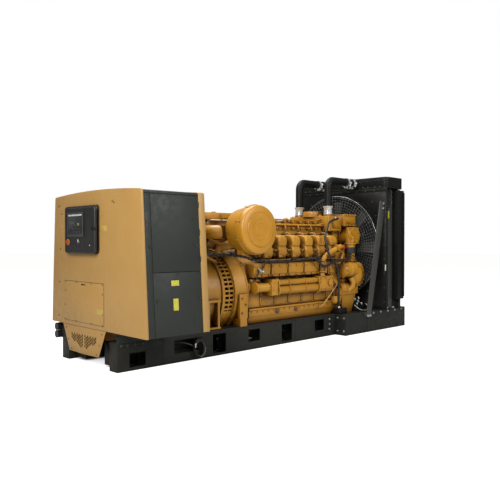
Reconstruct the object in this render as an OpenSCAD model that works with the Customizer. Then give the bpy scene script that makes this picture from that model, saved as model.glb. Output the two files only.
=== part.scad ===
// Diesel generator set: a twelve-cylinder vee engine and its generator on a
// welded skid, with a radiator at one end and a terminal hood at the other.
// X runs from the generator end to the radiator end, Z is up, and the right side
// is at -Y. The origin is on the floor, below the crankshaft, where the generator
// meets the flywheel housing.

/* [Skid] */
// Length of the skid rails
set_l = 5100; // [4900:10:5400]
// Width over the two rails
skid_w = 1174; // [1160:2:1190]
// Width of a rail
rail_w = 153; // [130:1:155]
// Height of a rail
rail_h = 298; // [280:1:298]
// Wall of a rail
rail_wall = 12; // [8:1:20]
// Length of a small window in a rail
window_l = 200; // [150:5:220]
// Height of a small window in a rail
window_h = 145; // [100:5:150]
// Length of the cable window in a rail
cable_window_l = 380; // [250:5:420]
// Length of a handling pocket in a rail
pocket_l = 200; // [160:5:220]
// Height of a handling pocket in a rail
pocket_h = 222; // [180:2:230]
// Distance between the two handling pockets
pocket_pitch = 1170; // [900:10:1300]
// Width of a radiator outrigger, out from the rail
outrigger_w = 183; // [150:1:200]
// Length of a radiator outrigger
outrigger_l = 1543; // [1480:1:1600]
// Depth of a cross member
cross_h = 100; // [60:2:120]
// Radius of an anchor hole in an outrigger
anchor_r = 13; // [9:0.5:16]

/* [Generator and flywheel housing] */
// Height of the crankshaft above the floor
axis_z = 680; // [670:1:700]
// Radius of the generator's frame
gen_r = 520; // [480:1:525]
// Length of the generator's frame
gen_l = 1190; // [1150:1:1230]
// Length of the slotted cooling ring
vent_l = 160; // [140:1:200]
// Number of slots in one row of the cooling ring
vent_slots = 36; // [24:1:48]
// Radius of the flywheel housing
flywheel_r = 555; // [530:1:560]
// Length of the flywheel housing
flywheel_l = 210; // [190:1:240]

/* [Hood] */
// Distance that the hood stands out past the skid's end
hood_out = 55; // [45:1:65]
// Length of the hood
hood_l = 767; // [740:1:800]
// Height of the hood's bottom edge above the floor
hood_z = 413; // [400:1:425]
// Height of the hood's sides
hood_h = 1417; // [1380:1:1440]
// Width of the hood at its bottom edge
hood_w = 1920; // [1900:2:1960]
// Width of the hood at its top corners
hood_top_w = 1740; // [1700:2:1800]
// Distance from the crankshaft to the middle of the hood, towards the right
hood_side = 228; // [200:1:235]
// Rise of the roof's crown above its corners
hood_rise = 32; // [10:1:50]
// Thickness of the hood's sheet steel
sheet = 6; // [4:0.5:8]
// Thickness of a side panel
panel_t = 20; // [12:1:24]
// Length of the yellow band at the hood's rear
trim_l = 79; // [60:1:100]
// Height of the line between side door and lower panel
door_line_z = 1032; // [900:2:1200]
// Width of the vent apron at its top
apron_w = 920; // [860:2:940]
// Height of the vent apron's bottom edge above the floor
apron_z = 120; // [110:1:130]

/* [Control panel] */
// Width of the control panel
control_w = 642; // [620:2:660]
// Height of the control panel
control_h = 490; // [470:1:500]
// Height of the control panel's bottom edge above the floor
control_z = 1200; // [1150:1:1220]
// Depth of the fixed case
case_t = 24; // [15:1:30]
// Depth of the door
control_door_t = 29; // [24:1:32]
// Clearance between the door and its case
door_gap = 5; // [5:0.5:6]
// Radius of a hinge pin
pin_r = 5; // [4:0.5:6]

/* [Engine] */
// Length of the engine block
block_l = 1990; // [1940:1:2020]
// Distance between two cylinders of a bank
cyl_pitch = 266; // [255:1:270]
// Half width of the engine block's crankcase
block_w = 500; // [480:1:510]
// Length of a cylinder head
head_l = 240; // [200:1:250]
// Width of a cylinder head
head_w = 320; // [300:1:330]
// Height of a cylinder head
head_h = 130; // [110:1:140]
// Height of a valve cover
cover_h = 110; // [80:1:112]
// Angle of a cylinder bank from upright
bank_a = 30; // [28:0.5:31]
// Distance from the crankshaft to a bank's deck
deck_d = 560; // [550:1:565]
// Depth of the oil pan below its rail
pan_h = 170; // [120:2:180]
// Radius of an air cleaner
cleaner_r = 295; // [260:1:300]
// Length of an air cleaner
cleaner_l = 425; // [380:1:430]
// Radius of the exhaust outlet's bore
exhaust_r = 125; // [100:1:130]
// Radius of a camshaft-side service tube
tube_r = 40; // [30:1:42]

/* [Cooling] */
// Height of the radiator's top above the floor
set_h = 2300; // [2280:1:2340]
// Height of the top tank
tank_h = 170; // [140:1:190]
// Length of the top tank along the set
tank_l = 420; // [380:1:440]
// Width of the top tank
tank_w = 1700; // [1660:2:1720]
// Width of the fan shroud's face plate
shroud_w = 1720; // [1680:2:1760]
// Distance from the engine's front to the fan shroud
fan_room = 470; // [440:5:520]
// Depth of the fan shroud
shroud_l = 280; // [240:5:320]
// Depth of the radiator core
core_l = 200; // [160:1:220]
// Width of the radiator core
core_w = 1560; // [1500:2:1580]
// Height of the fan's axis above the floor
fan_z = 1240; // [1235:1:1250]
// Radius of the fan
fan_r = 715; // [680:1:725]
// Number of fan blades
fan_blades = 8; // [6:1:10]
// Radius of the fan guard
guard_r = 800; // [780:1:815]
// Radius of a coolant pipe
pipe_r = 57; // [48:1:58]
// Distance of a coolant pipe from the centre line
pipe_y = 280; // [270:1:300]

/* [Hidden] */
$fn = 64;

yellow = "#C29A55";
orange = "#C48A2E";
dark = "#2F3331";
black = "#1B1D1D";
grey = "#4A4B49";
silver = "#B9BCBD";

// Seat clearance beside a curved or boxed-in face
seat = 0.3;
// Running clearance of a shaft or pin in its bearing
running = 0.1;
// Overshoot of a cutting shape past the face that it cuts
over = 1;
// Gap between two flat faces that meet at a slant
face_gap = 0.05;

// Skid: places along the rails are measured from the generator end
rail_y1 = skid_w / 2;
rail_y0 = rail_y1 - rail_w;
front_window_x = 143;
front_window_z = 35;
cable_window_x = 714;
pocket_x = 1266;
pocket_z = 30;
mid_window_x = 1836;
rear_window_x = 3104;
window_z = 100;
outrigger_y1 = rail_y1 + outrigger_w;
outrigger_tail = 170;
anchor_inset = 160;
cross_l = 110;
front_cross_x = 560;
mid_cross = 840;
far_cross = 1620;
shroud_cross = 150;

// Stations along the set
gen_x = 300;
vent_x = gen_x + gen_l;
flywheel_x = vent_x + vent_l;
block_x = flywheel_x + flywheel_l;
block_x1 = block_x + block_l;
case_l = 130;
case_x1 = block_x1 + case_l;
shroud_x = case_x1 + fan_room;
core_x = shroud_x + shroud_l;
outrigger_x = core_x + core_l + outrigger_tail - outrigger_l;
datum_x = flywheel_x;
cross_xs = [front_cross_x, datum_x - cross_l / 2, block_x + mid_cross, block_x + far_cross,
    shroud_x - shroud_cross, set_l - cross_l];

// Generator
end_bell_l = 50;
end_bell_in = 60;
flange_t = 20;
flange_rise = 14;
vent_in = 10;
slot_depth = 34;
slot_w = 44;
slot_gap = 12;
foot_l = 220;
foot_plate_t = 28;
foot_web_t = 30;
foot_web_in = 20;
foot_lip = 54;
foot_gap = 5;
support_t = 12;
foot_y1 = rail_y1 - support_t - foot_gap;
foot_plate_z = axis_z - sqrt(max(0, gen_r * gen_r - (foot_y1 - foot_lip) * (foot_y1 - foot_lip)));
front_foot_x = 430;
rear_foot_x = vent_x - 300;

// Hood
hood_x = -hood_out;
hood_x1 = hood_x + hood_l;
hood_y = -hood_side;
hood_z1 = hood_z + hood_h;
front_l = 26;
recess = 6;
inner = recess + panel_t;
corner_r = 26;
roof_edge = 40;
roof_joint = 2;
channel_l = 77;
door_joint = 4;
box_gap = 20;
box_z = axis_z + gen_r + box_gap;
box_clear = 13;
box_y = rail_y1 + box_clear;
box_short = 40;
box_x = hood_x + sheet;
box_l = hood_l - box_short;
shelf_w = 80;
apron_w1 = 630;
apron_sag = 8;
vent_top_z = 316;
vent_low_z = 155;
vent_slope = 0.45;
vent_columns = 9;
vent_rows = 4;
vent_pitch = 34;
vent_pitch_y = 28;
vent_y = 30;
vent_hole_r = 9.5;
cover_w = 845;
cover_z = 461;
cover_sheet_h = 432;
cover_t = 3;

// Control panel
control_shift = 21;
control_y0 = -control_w / 2 - control_shift;
control_y1 = control_y0 + control_w;
case_x = hood_x - case_t;
control_door_x = case_x - door_gap - control_door_t;
door_bevel = 18;
door_side_gap = 4;
hinge_out = 14;
hinge_x = case_x - door_gap / 2;
hinge_y = control_y1 + hinge_out;
hinge_inset = 90;
knuckle_r = pin_r + 7;
knuckle_l = 50;
knuckle_gap = 6;
ear_t = 10;
leaf_t = 12;
leaf_in = 6;
hinge_zs = [control_z + hinge_inset, control_z + control_h - hinge_inset];
display_w = 352;
display_h = 259;
display_t = 8;
display_side = 67;
display_top = 53;
switch_z = control_z + 122;
stop_y = control_y1 - 69;
stop_l = 12;
stop_r = 22;
stop_stem_r = 14;
key_y = control_y1 - 308;
key_l = 9;
key_r = 16;
bow_l = 7;
bow_t = 8;
bow_h = 28;

// Engine: a bank's own axes run along its cylinders (d) and outwards across them (w)
head_w0 = -0.4 * head_w;
head_w1 = head_w0 + head_w;
bank_l = 5 * cyl_pitch;
bank_shift = 40;
first_cyl = block_x + (block_l - bank_l) / 2 + bank_shift;
valley_drop = 80;
pan_z1 = 490;
pan_z = rail_h + 2;
pan_lip = 25;
pan_rim_h = 90;
pan_in = 40;
pan_short = 150;
sump_clear = 40;
sump_taper = 10;
shoulder_z = 760;
flank_z = 860;
flank_in = 30;
mount_x = flywheel_x + 40;
mount_in = 10;
mount_t = 45;
mount_l = 130;
mount_h = 292;
mount_foot_h = 99;
mount_foot_in = 20;
leg_y0 = block_w + seat;
bracket_t = 90;
bracket_z0 = 560;
bracket_z1 = 690;
bracket_back = 150;
bracket_fore = 110;
leg_in = 30;
leg_fore = 20;
cover_chamfer = 26;
cover_in = 15;
cam_in = 60;
cam_cover_l = 320;
cam_gap = 24;
cam_z0 = 870;
cam_z1 = 1053;
cam_out = 100;
cam_lip = 20;
tube_out = 110;
tube_y = block_w + tube_out;
tube_z = 800;
cooler_r = 56;
cooler_z = 707;
cooler_x = block_x + 450;
cooler_in = 40;
cooler_stub = 60;
header_l = 110;
header_in = 30;
header_up = 50;
bonnet_x = block_x1 - 730;
bonnet_l = 320;
bonnet_z0 = 650;
bonnet_z1 = 900;
bonnet_neck = 50;
bonnet_out = 30;
riser_in = 110;
riser_pipe_r = 34;
plate_w = 600;
plate_t = 28;
plate_z = 1445;
plate_rise = 100;
plate_in = 100;
keel_in = 60;
keel_w = 280;
body_in = 70;
body_side = 30;
cap_in = 40;
cap_w = 400;
cap_h = 36;
tower_l = 300;
tower_back = 20;
tower_z0 = 1480;
tower_z = 1700;
tower_x = case_x1 - tower_l - tower_back;
tower_w = 760;
tower_base_w = 600;
dome_r = 140;
dome_h = 75;
dome_in = 90;
nose_l = 300;
nose_z = 1565;
nose_h = 165;
nose_w = 860;
case_top_z = 1280;
case_foot_z = 400;
case_foot_w = 330;
case_step = 20;
case_hip_z = 900;
case_top_w = 420;
cross_x = case_x1 + 140;
cross_z = 1415;
cross_r = 112;
cross_flange_r = 8;
cross_flange_l = 36;
saddle_l = 200;
saddle_w = 300;
crossover_y = 480;
drop_y = 460;
drop_r = 70;
drop_back = 45;
pump_r = 105;
pump_l = 250;
pump_y = 560;
pump_z = 915;
volute_r = 150;
volute_w = 200;
volute_y = 400;
volute_x = case_x1 + 100;
volute_z = pump_z - 45;
snout_r = 60;

// Air and exhaust, above the flywheel housing
turbo_x = flywheel_x - 320;
turbo_z = 1440;
turbo_r = 150;
turbo_y = 190;
turbo_w = 90;
turbo_neck_r = 95;
saddle_foot_y = 120;
saddle_foot_l = 120;
saddle_foot_w = 60;
duct_y = 108;
duct_l = 430;
duct_back = 120;
duct_drop = 80;
duct_h = 150;
stack_x = turbo_x + 160;
stack_rise = 160;
stack_wall = 12;
stack_flange_t = 18;
stack_flange_w = 55;
stack_bolts_w = 34;
stack_bolt_r = 9;
frame_x = turbo_x - 130;
frame_x1 = block_x + 90;
frame_y = 300;
frame_z = 1600;
frame_w = 80;
post_l = 60;
post_w = 50;
arm_l = 100;
arm_in = 10;
cleaner_y = 560;
cleaner_x = flywheel_x;
cleaner_z = 1465;
lid_l = 30;
lid_cone = 24;
lid_taper = 26;
lid_step_r = 0.6 * cleaner_r;
elbow_r = 80;
elbow_bend = 110;
elbow_end = 100;

// Cooling
tank_z = set_h - tank_h;
tank_corner = 80;
guard_t = 8;
guard_x = shroud_x - 150;
guard_bars = 36;
guard_hub_r = 190;
guard_rs = [guard_hub_r, guard_r / 2, guard_r * 3 / 4, guard_r];
bar_w = 6;
strut_w = 5;
pulley_x = guard_x - 56;
pulley_l = 40;
pulley_r = 140;
belt_t = 12;
belt_in = 5;
belt_gap = 5;
shaft_r = 30;
shaft_in = 26;
drive_wall = 10;
drive_floor = 20;
drive_gap = 8;
fan_x = guard_x + 20;
hub_l = 110;
hub_r = 120;
blade_w = 180;
blade_t = 10;
blade_a = 32;
blade_root = 15;
tip_gap = 30;
shroud_t = 12;
shroud_box_w = 1360;
core_z = 444;
frame_l = 70;
frame_foot_x = core_x + 110;
frame_foot_l = 60;
frame_foot_gap = 5;
foot_peg_in = 2;
base_setback = 10;
frame_short = 20;
column_x = shroud_x + 165;
column_l = 110;
column_w = 70;
column_gap = 20;
column_y = max(outrigger_y1 - column_w, shroud_box_w / 2 + column_gap);
brace_y = max(guard_r + 4, outrigger_y1 + 34);
brace_t = 14;
brace_l = 112;
brace_lean = 348;
brace_z = 1930;
brace_drop = 50;
brace_h = 110;
bracket_drop = 70;
bracket_in = 10;
pipe_x = block_x1 - 80;
pipe_z = set_h - pipe_r - 8;
bend_r = 110;
sleeve_l = 110;
sleeve_wall = 4;
band_t = 14;
band_rise = 26;
clamp_l = 24;
clamp_wall = 6;
clamp_bolt_l = 30;
clamp_xs = [70, 130];
gland_plate_x = 20;
gland_plate_t = 12;
gland_plate_w = 80;
gland_l = 60;
gland_y = rail_y1 + 73;
gland_r = 43;
gland_z = 351;
gland_pitch = 88;
gland_hang = 130;
lead_r = 34;
coil_r = 80;
coil_x = cable_window_x + 306;
coil_z = 130;

// Half width of the hood's side at height z
function side_y(z) = hood_w / 2 + (hood_top_w - hood_w) / 2 * (z - hood_z) / hood_h;
// A point of the bank at d along its cylinders and w outwards, as [y, z]
function bank(d, w) = [d * sin(bank_a) + w * cos(bank_a), axis_z + d * cos(bank_a) - w * sin(bank_a)];
// Height of a bank's deck at y
function deck_at(y) = let (a = bank(deck_d, head_w0), b = bank(deck_d, head_w1))
    a[1] + (b[1] - a[1]) * (y - a[0]) / (b[0] - a[0]);
// Half width of the block's sloping side at height z
function flank_y(z) = let (q = bank(deck_d, head_w1), y0 = block_w - flank_in)
    y0 + (q[0] - y0) * (z - flank_z) / (q[1] - flank_z);
// Half outline of the hood, moved in by t, from the bottom edge to the crown
function hood_half(t, z0) = let (
    r = corner_r - t / 2,
    z1 = hood_z1 - t,
    cy = side_y(z1 - r) - t - r)
    concat(
        [[side_y(z0) - t, z0]],
        [for (a = [0:18:90]) [cy + r * cos(a), z1 - r + r * sin(a)]],
        [for (i = [1:6]) let (u = 1 - i / 6) [cy * u, z1 + hood_rise * (1 - u * u)]]);
function reversed(p) = [for (i = [len(p) - 1:-1:0]) p[i]];
function mirrored(p) = [for (q = p) [-q[0], q[1]]];
function unit(v) = v / norm(v);
function tangent(p, i) = unit(p[min(i + 1, len(p) - 1)] - p[max(i - 1, 0)]);

module at(x, y = 0, z = 0) translate([x - datum_x, y, z]) children();
module block_at(x, y, z, l, w, h) at(x, y, z) cube([l, w, h]);
module cyl_x(r, l) rotate([0, 90, 0]) cylinder(r = r, h = l);
module cyl_y(r, l) rotate([-90, 0, 0]) cylinder(r = r, h = l);
module along_x(x, l) at(x) rotate([90, 0, 90]) linear_extrude(l) children();
module along_y(y, w) translate([-datum_x, y + w, 0]) rotate([90, 0, 0]) linear_extrude(w) children();
module right() mirror([0, 1, 0]) children();
module both() {
    children();
    right() children();
}
module hood_shape(t, z0 = hood_z) translate([hood_y, 0])
    polygon(concat(hood_half(t, z0), reversed(mirrored(hood_half(t, z0)))));
// A tube swept along points p, of radius r with n sides; up is never along the route
module swept(p, r, n = 8, up = [0, 1, 0]) {
    rings = [for (i = [0:len(p) - 1]) let (
        t = tangent(p, i), u = unit(cross(up, t)), v = cross(t, u))
        for (k = [0:n - 1]) p[i] + r * (u * cos(k * 360 / n) + v * sin(k * 360 / n))];
    last = len(p) - 1;
    faces = concat(
        [[for (k = [0:n - 1]) k]],
        [for (i = [0:last - 1], k = [0:n - 1])
            [i * n + k, (i + 1) * n + k, (i + 1) * n + (k + 1) % n, i * n + (k + 1) % n]],
        [[for (k = [n - 1:-1:0]) last * n + k]]);
    at(0) polyhedron(points = rings, faces = faces);
}

// ---- Skid ----
module rail_cut(x, l, z, h) block_at(x, rail_y0 - over, z, l, rail_w + 2 * over, h);
module rail() color(dark) difference() {
    block_at(0, rail_y0, 0, set_l, rail_w, rail_h);
    block_at(rail_wall, rail_y0 + rail_wall, rail_wall,
        set_l - 2 * rail_wall, rail_w - 2 * rail_wall, rail_h - 2 * rail_wall);
    rail_cut(front_window_x, window_l, front_window_z, window_h);
    rail_cut(cable_window_x, cable_window_l, window_z, window_h);
    rail_cut(mid_window_x, window_l, window_z, window_h);
    rail_cut(rear_window_x, window_l, window_z, window_h);
    for (i = [0:1]) rail_cut(pocket_x + i * pocket_pitch, pocket_l, pocket_z, pocket_h);
}
module skid_rail_left() rail();
module skid_rail_right() right() rail();
module skid_cross_members() color(dark)
    for (x = cross_xs) block_at(x, -rail_y0, 0, cross_l, 2 * rail_y0, cross_h);
module outriggers() color(black) both() difference() {
    block_at(outrigger_x, rail_y1, 0, outrigger_l, outrigger_w, rail_h);
    for (x = [anchor_inset, outrigger_l - anchor_inset])
        at(outrigger_x + x, rail_y1 + outrigger_w / 2, -over)
            cylinder(r = anchor_r, h = rail_h + 2 * over);
}

// ---- Generator ----
module generator_frame() color(orange) {
    at(gen_x, 0, axis_z) cyl_x(gen_r, gen_l - flange_t);
    at(gen_x - end_bell_l, 0, axis_z) cyl_x(gen_r - end_bell_in, end_bell_l);
    at(vent_x - flange_t, 0, axis_z) cyl_x(gen_r + flange_rise, flange_t);
}
module generator_vent_ring() color(orange) {
    row_l = (vent_l - flange_rise - slot_gap) / 2;
    difference() {
        at(vent_x, 0, axis_z) cyl_x(gen_r - vent_in, vent_l);
        for (row = [0:1], i = [0:vent_slots - 1])
            at(vent_x + slot_gap + row * row_l, 0, axis_z) rotate([i * 360 / vent_slots, 0, 0])
                translate([0, -slot_w / 2, gen_r - slot_depth])
                    cube([row_l - slot_gap, slot_w, 2 * slot_depth]);
    }
    at(flywheel_x - flange_rise, 0, axis_z) cyl_x(gen_r + flange_rise, flange_rise);
}
// One foot: two uprights between a base plate and a seat under the frame
module foot(x) difference() {
    union() {
        w = foot_y1 - rail_y0;
        block_at(x, rail_y0, rail_h, foot_l, w, foot_plate_t);
        for (dx = [foot_web_in, foot_l - foot_web_in - foot_web_t])
            block_at(x + dx, rail_y0, rail_h + foot_plate_t,
                foot_web_t, w, foot_plate_z - rail_h - foot_plate_t);
        block_at(x, rail_y0, foot_plate_z, foot_l, w, foot_plate_t);
    }
    at(x - over, 0, axis_z) cyl_x(gen_r + seat, foot_l + 2 * over);
}
module generator_feet() color(orange) both() {
    foot(front_foot_x);
    foot(rear_foot_x);
}
module flywheel_housing() color(orange) {
    at(flywheel_x, 0, axis_z) cyl_x(flywheel_r, flywheel_l - flange_t);
    at(block_x - flange_t, 0, axis_z) cyl_x(flywheel_r + flange_rise, flange_t);
}

// ---- Hood ----
module hood_supports() color(dark) both() difference() {
    union() {
        block_at(0, rail_y1 - support_t, rail_h, hood_x1, support_t, hood_z - rail_h);
        block_at(0, rail_y1, hood_z - support_t, hood_x + box_l, shelf_w, support_t);
    }
    difference() {
        block_at(-over, rail_y1 - support_t - over, hood_z - shelf_w,
            shelf_w + over, support_t + over, shelf_w + over);
        at(shelf_w, rail_y1 - support_t - 2 * over, hood_z - shelf_w) cyl_y(shelf_w, support_t + 3 * over);
    }
}
module hood_front_panel() color(yellow) difference() {
    along_x(hood_x, front_l) hood_shape(0);
    along_x(hood_x + sheet, front_l) hood_shape(sheet, hood_z - over);
}
module hood_rear_trim() color(yellow) difference() {
    along_x(hood_x1 - trim_l, trim_l) hood_shape(0);
    along_x(hood_x1 - trim_l - over, trim_l + 2 * over) hood_shape(inner, hood_z - over);
}
module hood_roof() color(dark) along_x(hood_x + front_l, hood_l - front_l - trim_l) intersection() {
    difference() {
        hood_shape(recess);
        hood_shape(inner, hood_z - over);
    }
    translate([-hood_w, hood_z1 - roof_edge]) square([2 * hood_w, 2 * roof_edge + hood_rise]);
}
// A sloping slab of the hood's side, from x over length l and from z0 to z1
module side_slab(x, l, z0, z1) along_x(x, l) polygon([
    [side_y(z0) - recess, z0], [side_y(z1) - recess, z1],
    [side_y(z1) - inner, z1], [side_y(z0) - inner, z0]]);
module side_panel() color(dark) {
    x = hood_x + front_l;
    door_x = x + channel_l + door_joint;
    door_l = hood_x1 - trim_l - door_x;
    z1 = hood_z1 - roof_edge - roof_joint;
    side_slab(x, channel_l, hood_z, z1);
    side_slab(door_x, door_l, hood_z, door_line_z - door_joint);
    side_slab(door_x, door_l, door_line_z, z1);
}
module hood_side_panel_left() translate([0, hood_y, 0]) side_panel();
module hood_side_panel_right() translate([0, hood_y, 0]) right() side_panel();
module terminal_box_top() color(dark) along_x(box_x, box_l) intersection() {
    hood_shape(inner);
    translate([-hood_w, box_z]) square([2 * hood_w, 2 * hood_h]);
}
module terminal_box_sides() color(dark) along_x(box_x, box_l) intersection() {
    hood_shape(inner);
    for (y = [box_y, -box_y - hood_w]) translate([y, 0]) square([hood_w, box_z]);
}
// Apron below the hood's front with two fans of slanting slots
module hood_vent_apron() color(yellow) difference() {
    along_x(hood_x, sheet) polygon([
        [-apron_w / 2, hood_z], [apron_w / 2, hood_z],
        [apron_w1 / 2, apron_z + apron_sag], [0, apron_z], [-apron_w1 / 2, apron_z + apron_sag]]);
    // staggered holes, fewer in a column the further it is from the middle
    for (s = [-1, 1], i = [0:vent_columns - 1], j = [0:vent_rows - 1])
        let (y = vent_y + vent_pitch_y * i, z = vent_top_z - vent_pitch * (j + (i % 2) / 2))
            if (z > vent_low_z + vent_slope * y)
                at(hood_x - over, s * y, z) cyl_x(vent_hole_r, sheet + 2 * over);
}
module access_cover() color(yellow)
    block_at(hood_x - cover_t, -cover_w / 2, cover_z, cover_t, cover_w, cover_sheet_h);

// ---- Control panel ----
// Upright tablet with its four front edges bevelled
module tablet(x, t, bevel, y0, y1, z0, z1) hull() {
    block_at(x + bevel, y0, z0, t - bevel, y1 - y0, z1 - z0);
    block_at(x, y0 + bevel, z0 + bevel, t, y1 - y0 - 2 * bevel, z1 - z0 - 2 * bevel);
}
module control_case() color(black) {
    block_at(case_x, control_y0, control_z, case_t, control_w, control_h);
    for (z = hinge_zs, s = [-1, 1]) {
        ear_z = z + s * (knuckle_l / 2 + knuckle_gap + ear_t / 2) - ear_t / 2;
        at(hinge_x, hinge_y, ear_z) cylinder(r = knuckle_r, h = ear_t);
        block_at(hinge_x, control_y1, ear_z, hood_x - hinge_x, hinge_y + knuckle_r - control_y1, ear_t);
    }
    for (z = hinge_zs) at(hinge_x, hinge_y, z - knuckle_l / 2 - ear_t)
        cylinder(r = pin_r, h = knuckle_l + 2 * ear_t);
}
module control_door() color(black) {
    tablet(control_door_x, control_door_t, door_bevel,
        control_y0, control_y1 - door_side_gap, control_z, control_z + control_h);
    for (z = hinge_zs) difference() {
        union() {
            at(hinge_x, hinge_y, z - knuckle_l / 2) cylinder(r = knuckle_r, h = knuckle_l);
            block_at(hinge_x - knuckle_r - leaf_t / 2, control_y1 - leaf_in, z - knuckle_l / 2,
                leaf_t, leaf_in + hinge_out, knuckle_l);
        }
        at(hinge_x, hinge_y, z - knuckle_l) cylinder(r = pin_r + running, h = 2 * knuckle_l);
    }
}
module display_module() color(black) block_at(control_door_x - display_t,
    control_y1 - display_side - display_w, control_z + control_h - display_top - display_h,
    display_t, display_w, display_h);
module panel_switches() {
    color("#B03A20") {
        at(control_door_x - stop_l, stop_y, switch_z) cyl_x(stop_r, stop_l / 2);
        at(control_door_x - stop_l, stop_y, switch_z) cyl_x(stop_stem_r, stop_l);
    }
    color(silver) at(control_door_x - key_l, key_y, switch_z) {
        cyl_x(key_r, key_l);
        translate([over - bow_l, -bow_t / 2, -bow_h / 2]) cube([bow_l, bow_t, bow_h]);
    }
}

// ---- Engine ----
module engine_block() color(orange) along_x(block_x, block_l) {
    half = [[block_w, pan_z1], [block_w, shoulder_z], [block_w - flank_in, flank_z],
        bank(deck_d, head_w1), bank(deck_d, head_w0), [0, bank(deck_d, head_w0)[1] - valley_drop]];
    polygon(concat(half, reversed(mirrored(half))));
}
module oil_pan() color(orange) along_x(block_x + pan_in, block_l - pan_in - pan_short) {
    sump_y = rail_y0 - sump_clear;
    half = [[sump_y, pan_z - pan_h], [sump_y + sump_taper, pan_z], [block_w, pan_z],
        [block_w + pan_lip, pan_z1 - pan_rim_h], [block_w + pan_lip, pan_z1]];
    polygon(concat(half, reversed(mirrored(half))));
}
module engine_supports() color(orange) both() {
    // rear: plate beside the flywheel housing and its foot on the rail
    plate_y = flywheel_r - mount_in;
    foot_y = rail_y0 + mount_foot_in;
    difference() {
        union() {
            block_at(mount_x, plate_y, rail_h + mount_foot_h - over, mount_l, mount_t, mount_h);
            block_at(mount_x + mount_in, foot_y, rail_h,
                mount_l - 2 * mount_in, plate_y + mount_t - foot_y, mount_foot_h);
        }
        at(flywheel_x - over, 0, axis_z) cyl_x(flywheel_r + flange_rise + seat, flywheel_l);
    }
    // front: bracket beside the block and its tapered leg on the rail
    bracket_x = block_x1 - bracket_back;
    bracket_x1 = case_x1 + bracket_fore;
    along_y(leg_y0, bracket_t) polygon([
        [bracket_x, bracket_z0], [bracket_x1, bracket_z0], [bracket_x1, bracket_z1], [bracket_x, bracket_z1]]);
    along_y(leg_y0, foot_y1 - leg_y0) polygon([
        [bracket_x + leg_in, rail_h], [case_x1 - leg_fore, rail_h],
        [bracket_x1 - leg_in, bracket_z0 + over], [bracket_x + leg_in, bracket_z0 + over]]);
}
module heads() color(orange) for (i = [0:5])
    along_x(first_cyl + i * cyl_pitch - head_l / 2, head_l) polygon([
        bank(deck_d + face_gap, head_w0), bank(deck_d + face_gap, head_w1),
        bank(deck_d + head_h, head_w1), bank(deck_d + head_h, head_w0)]);
module covers() color(orange) for (i = [0:5]) let (
    d0 = deck_d + head_h + face_gap, d1 = deck_d + head_h + cover_h,
    w0 = head_w0 + cover_in, w1 = head_w1 - cover_in, c = cover_chamfer)
    along_x(first_cyl + i * cyl_pitch - head_l / 2 + cover_in, head_l - 2 * cover_in) polygon([
        bank(d0, w0), bank(d0, w1), bank(d1 - 2 * c, w1), bank(d1 - c / 2, w1 - c),
        bank(d1, w1 - 2 * c), bank(d1, w0 + 2 * c), bank(d1 - c / 2, w0 + c), bank(d1 - 2 * c, w0)]);
module cylinder_heads_left() heads();
module cylinder_heads_right() right() heads();
module valve_covers_left() covers();
module valve_covers_right() right() covers();
module camshaft_covers() color(orange) both() for (i = [0:3])
    along_x(block_x + cam_in + i * cam_cover_l, cam_cover_l - cam_gap) polygon([
        [flank_y(cam_z0), cam_z0], [block_w + cam_out - cam_lip / 2, cam_z0 + cam_lip / 2],
        [block_w + cam_out, cam_z1 - cam_lip], [block_w + cam_out - cam_lip, cam_z1],
        [flank_y(cam_z1), cam_z1]]);
// Oil cooler: two tubes held in a flange block and a bonnet, with its riser pipe
module oil_cooler_tubes() color(orange) both() {
    stub_x = cooler_x - cooler_stub;
    at(block_x + cooler_in, tube_y, (tube_z + cooler_z) / 2) cyl_x(cooler_r, stub_x - block_x - cooler_in);
    at(stub_x, tube_y, tube_z) cyl_x(tube_r, bonnet_x - stub_x + over);
    at(stub_x, tube_y, cooler_z) cyl_x(cooler_r, bonnet_x - stub_x + over);
    block_at(cooler_x - header_in - header_l, block_w, bonnet_z0,
        header_l, tube_out + cooler_r, tube_z + header_up - bonnet_z0);
    block_at(bonnet_x, block_w, bonnet_z0,
        bonnet_l, tube_out + bonnet_out, bonnet_z1 - bonnet_neck - bonnet_z0);
    at(bonnet_x + riser_in, tube_y - mount_in, bonnet_z1 - bonnet_neck - over)
        cylinder(r = tube_r, h = bonnet_neck + over);
}
// Route of the riser: share of its way to the gear case, place across and height
riser_route = [
    [0, 600, 900], [0, 600, 980], [0.02, 602, 1040], [0.08, 604, 1100], [0.18, 604, 1145],
    [0.31, 604, 1178], [0.44, 602, 1208], [0.57, 596, 1240], [0.7, 585, 1256], [0.81, 550, 1252],
    [0.89, 480, 1246], [0.94, 410, 1240], [0.97, 400, 1240], [1, 400, 1240]];
riser_x = bonnet_x + riser_in;
riser_points = [for (p = riser_route) [riser_x + p[0] * (block_x1 - over - riser_x), p[1], p[2]]];
module oil_cooler_pipes() color(orange) both() swept(riser_points, riser_pipe_r, 12);
// Charge-air housing in the valley: a keel, a body between two plates and a cap
module aftercooler() color(orange) {
    valley_z = bank(deck_d, head_w0)[1];
    body_z = plate_z + plate_rise;
    block_at(first_cyl - keel_in, -keel_w / 2, valley_z,
        bank_l + 2 * keel_in, keel_w, plate_z + over - valley_z);
    for (z = [plate_z, body_z])
        block_at(first_cyl - plate_in, -plate_w / 2, z, tower_x - first_cyl + plate_in, plate_w, plate_t);
    block_at(first_cyl - body_in, -plate_w / 2 + body_side, plate_z,
        bank_l + 2 * body_in, plate_w - 2 * body_side, plate_rise + plate_t);
    block_at(first_cyl - cap_in, -cap_w / 2, body_z, bank_l + 2 * cap_in, cap_w, plate_t + cap_h);
}

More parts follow.
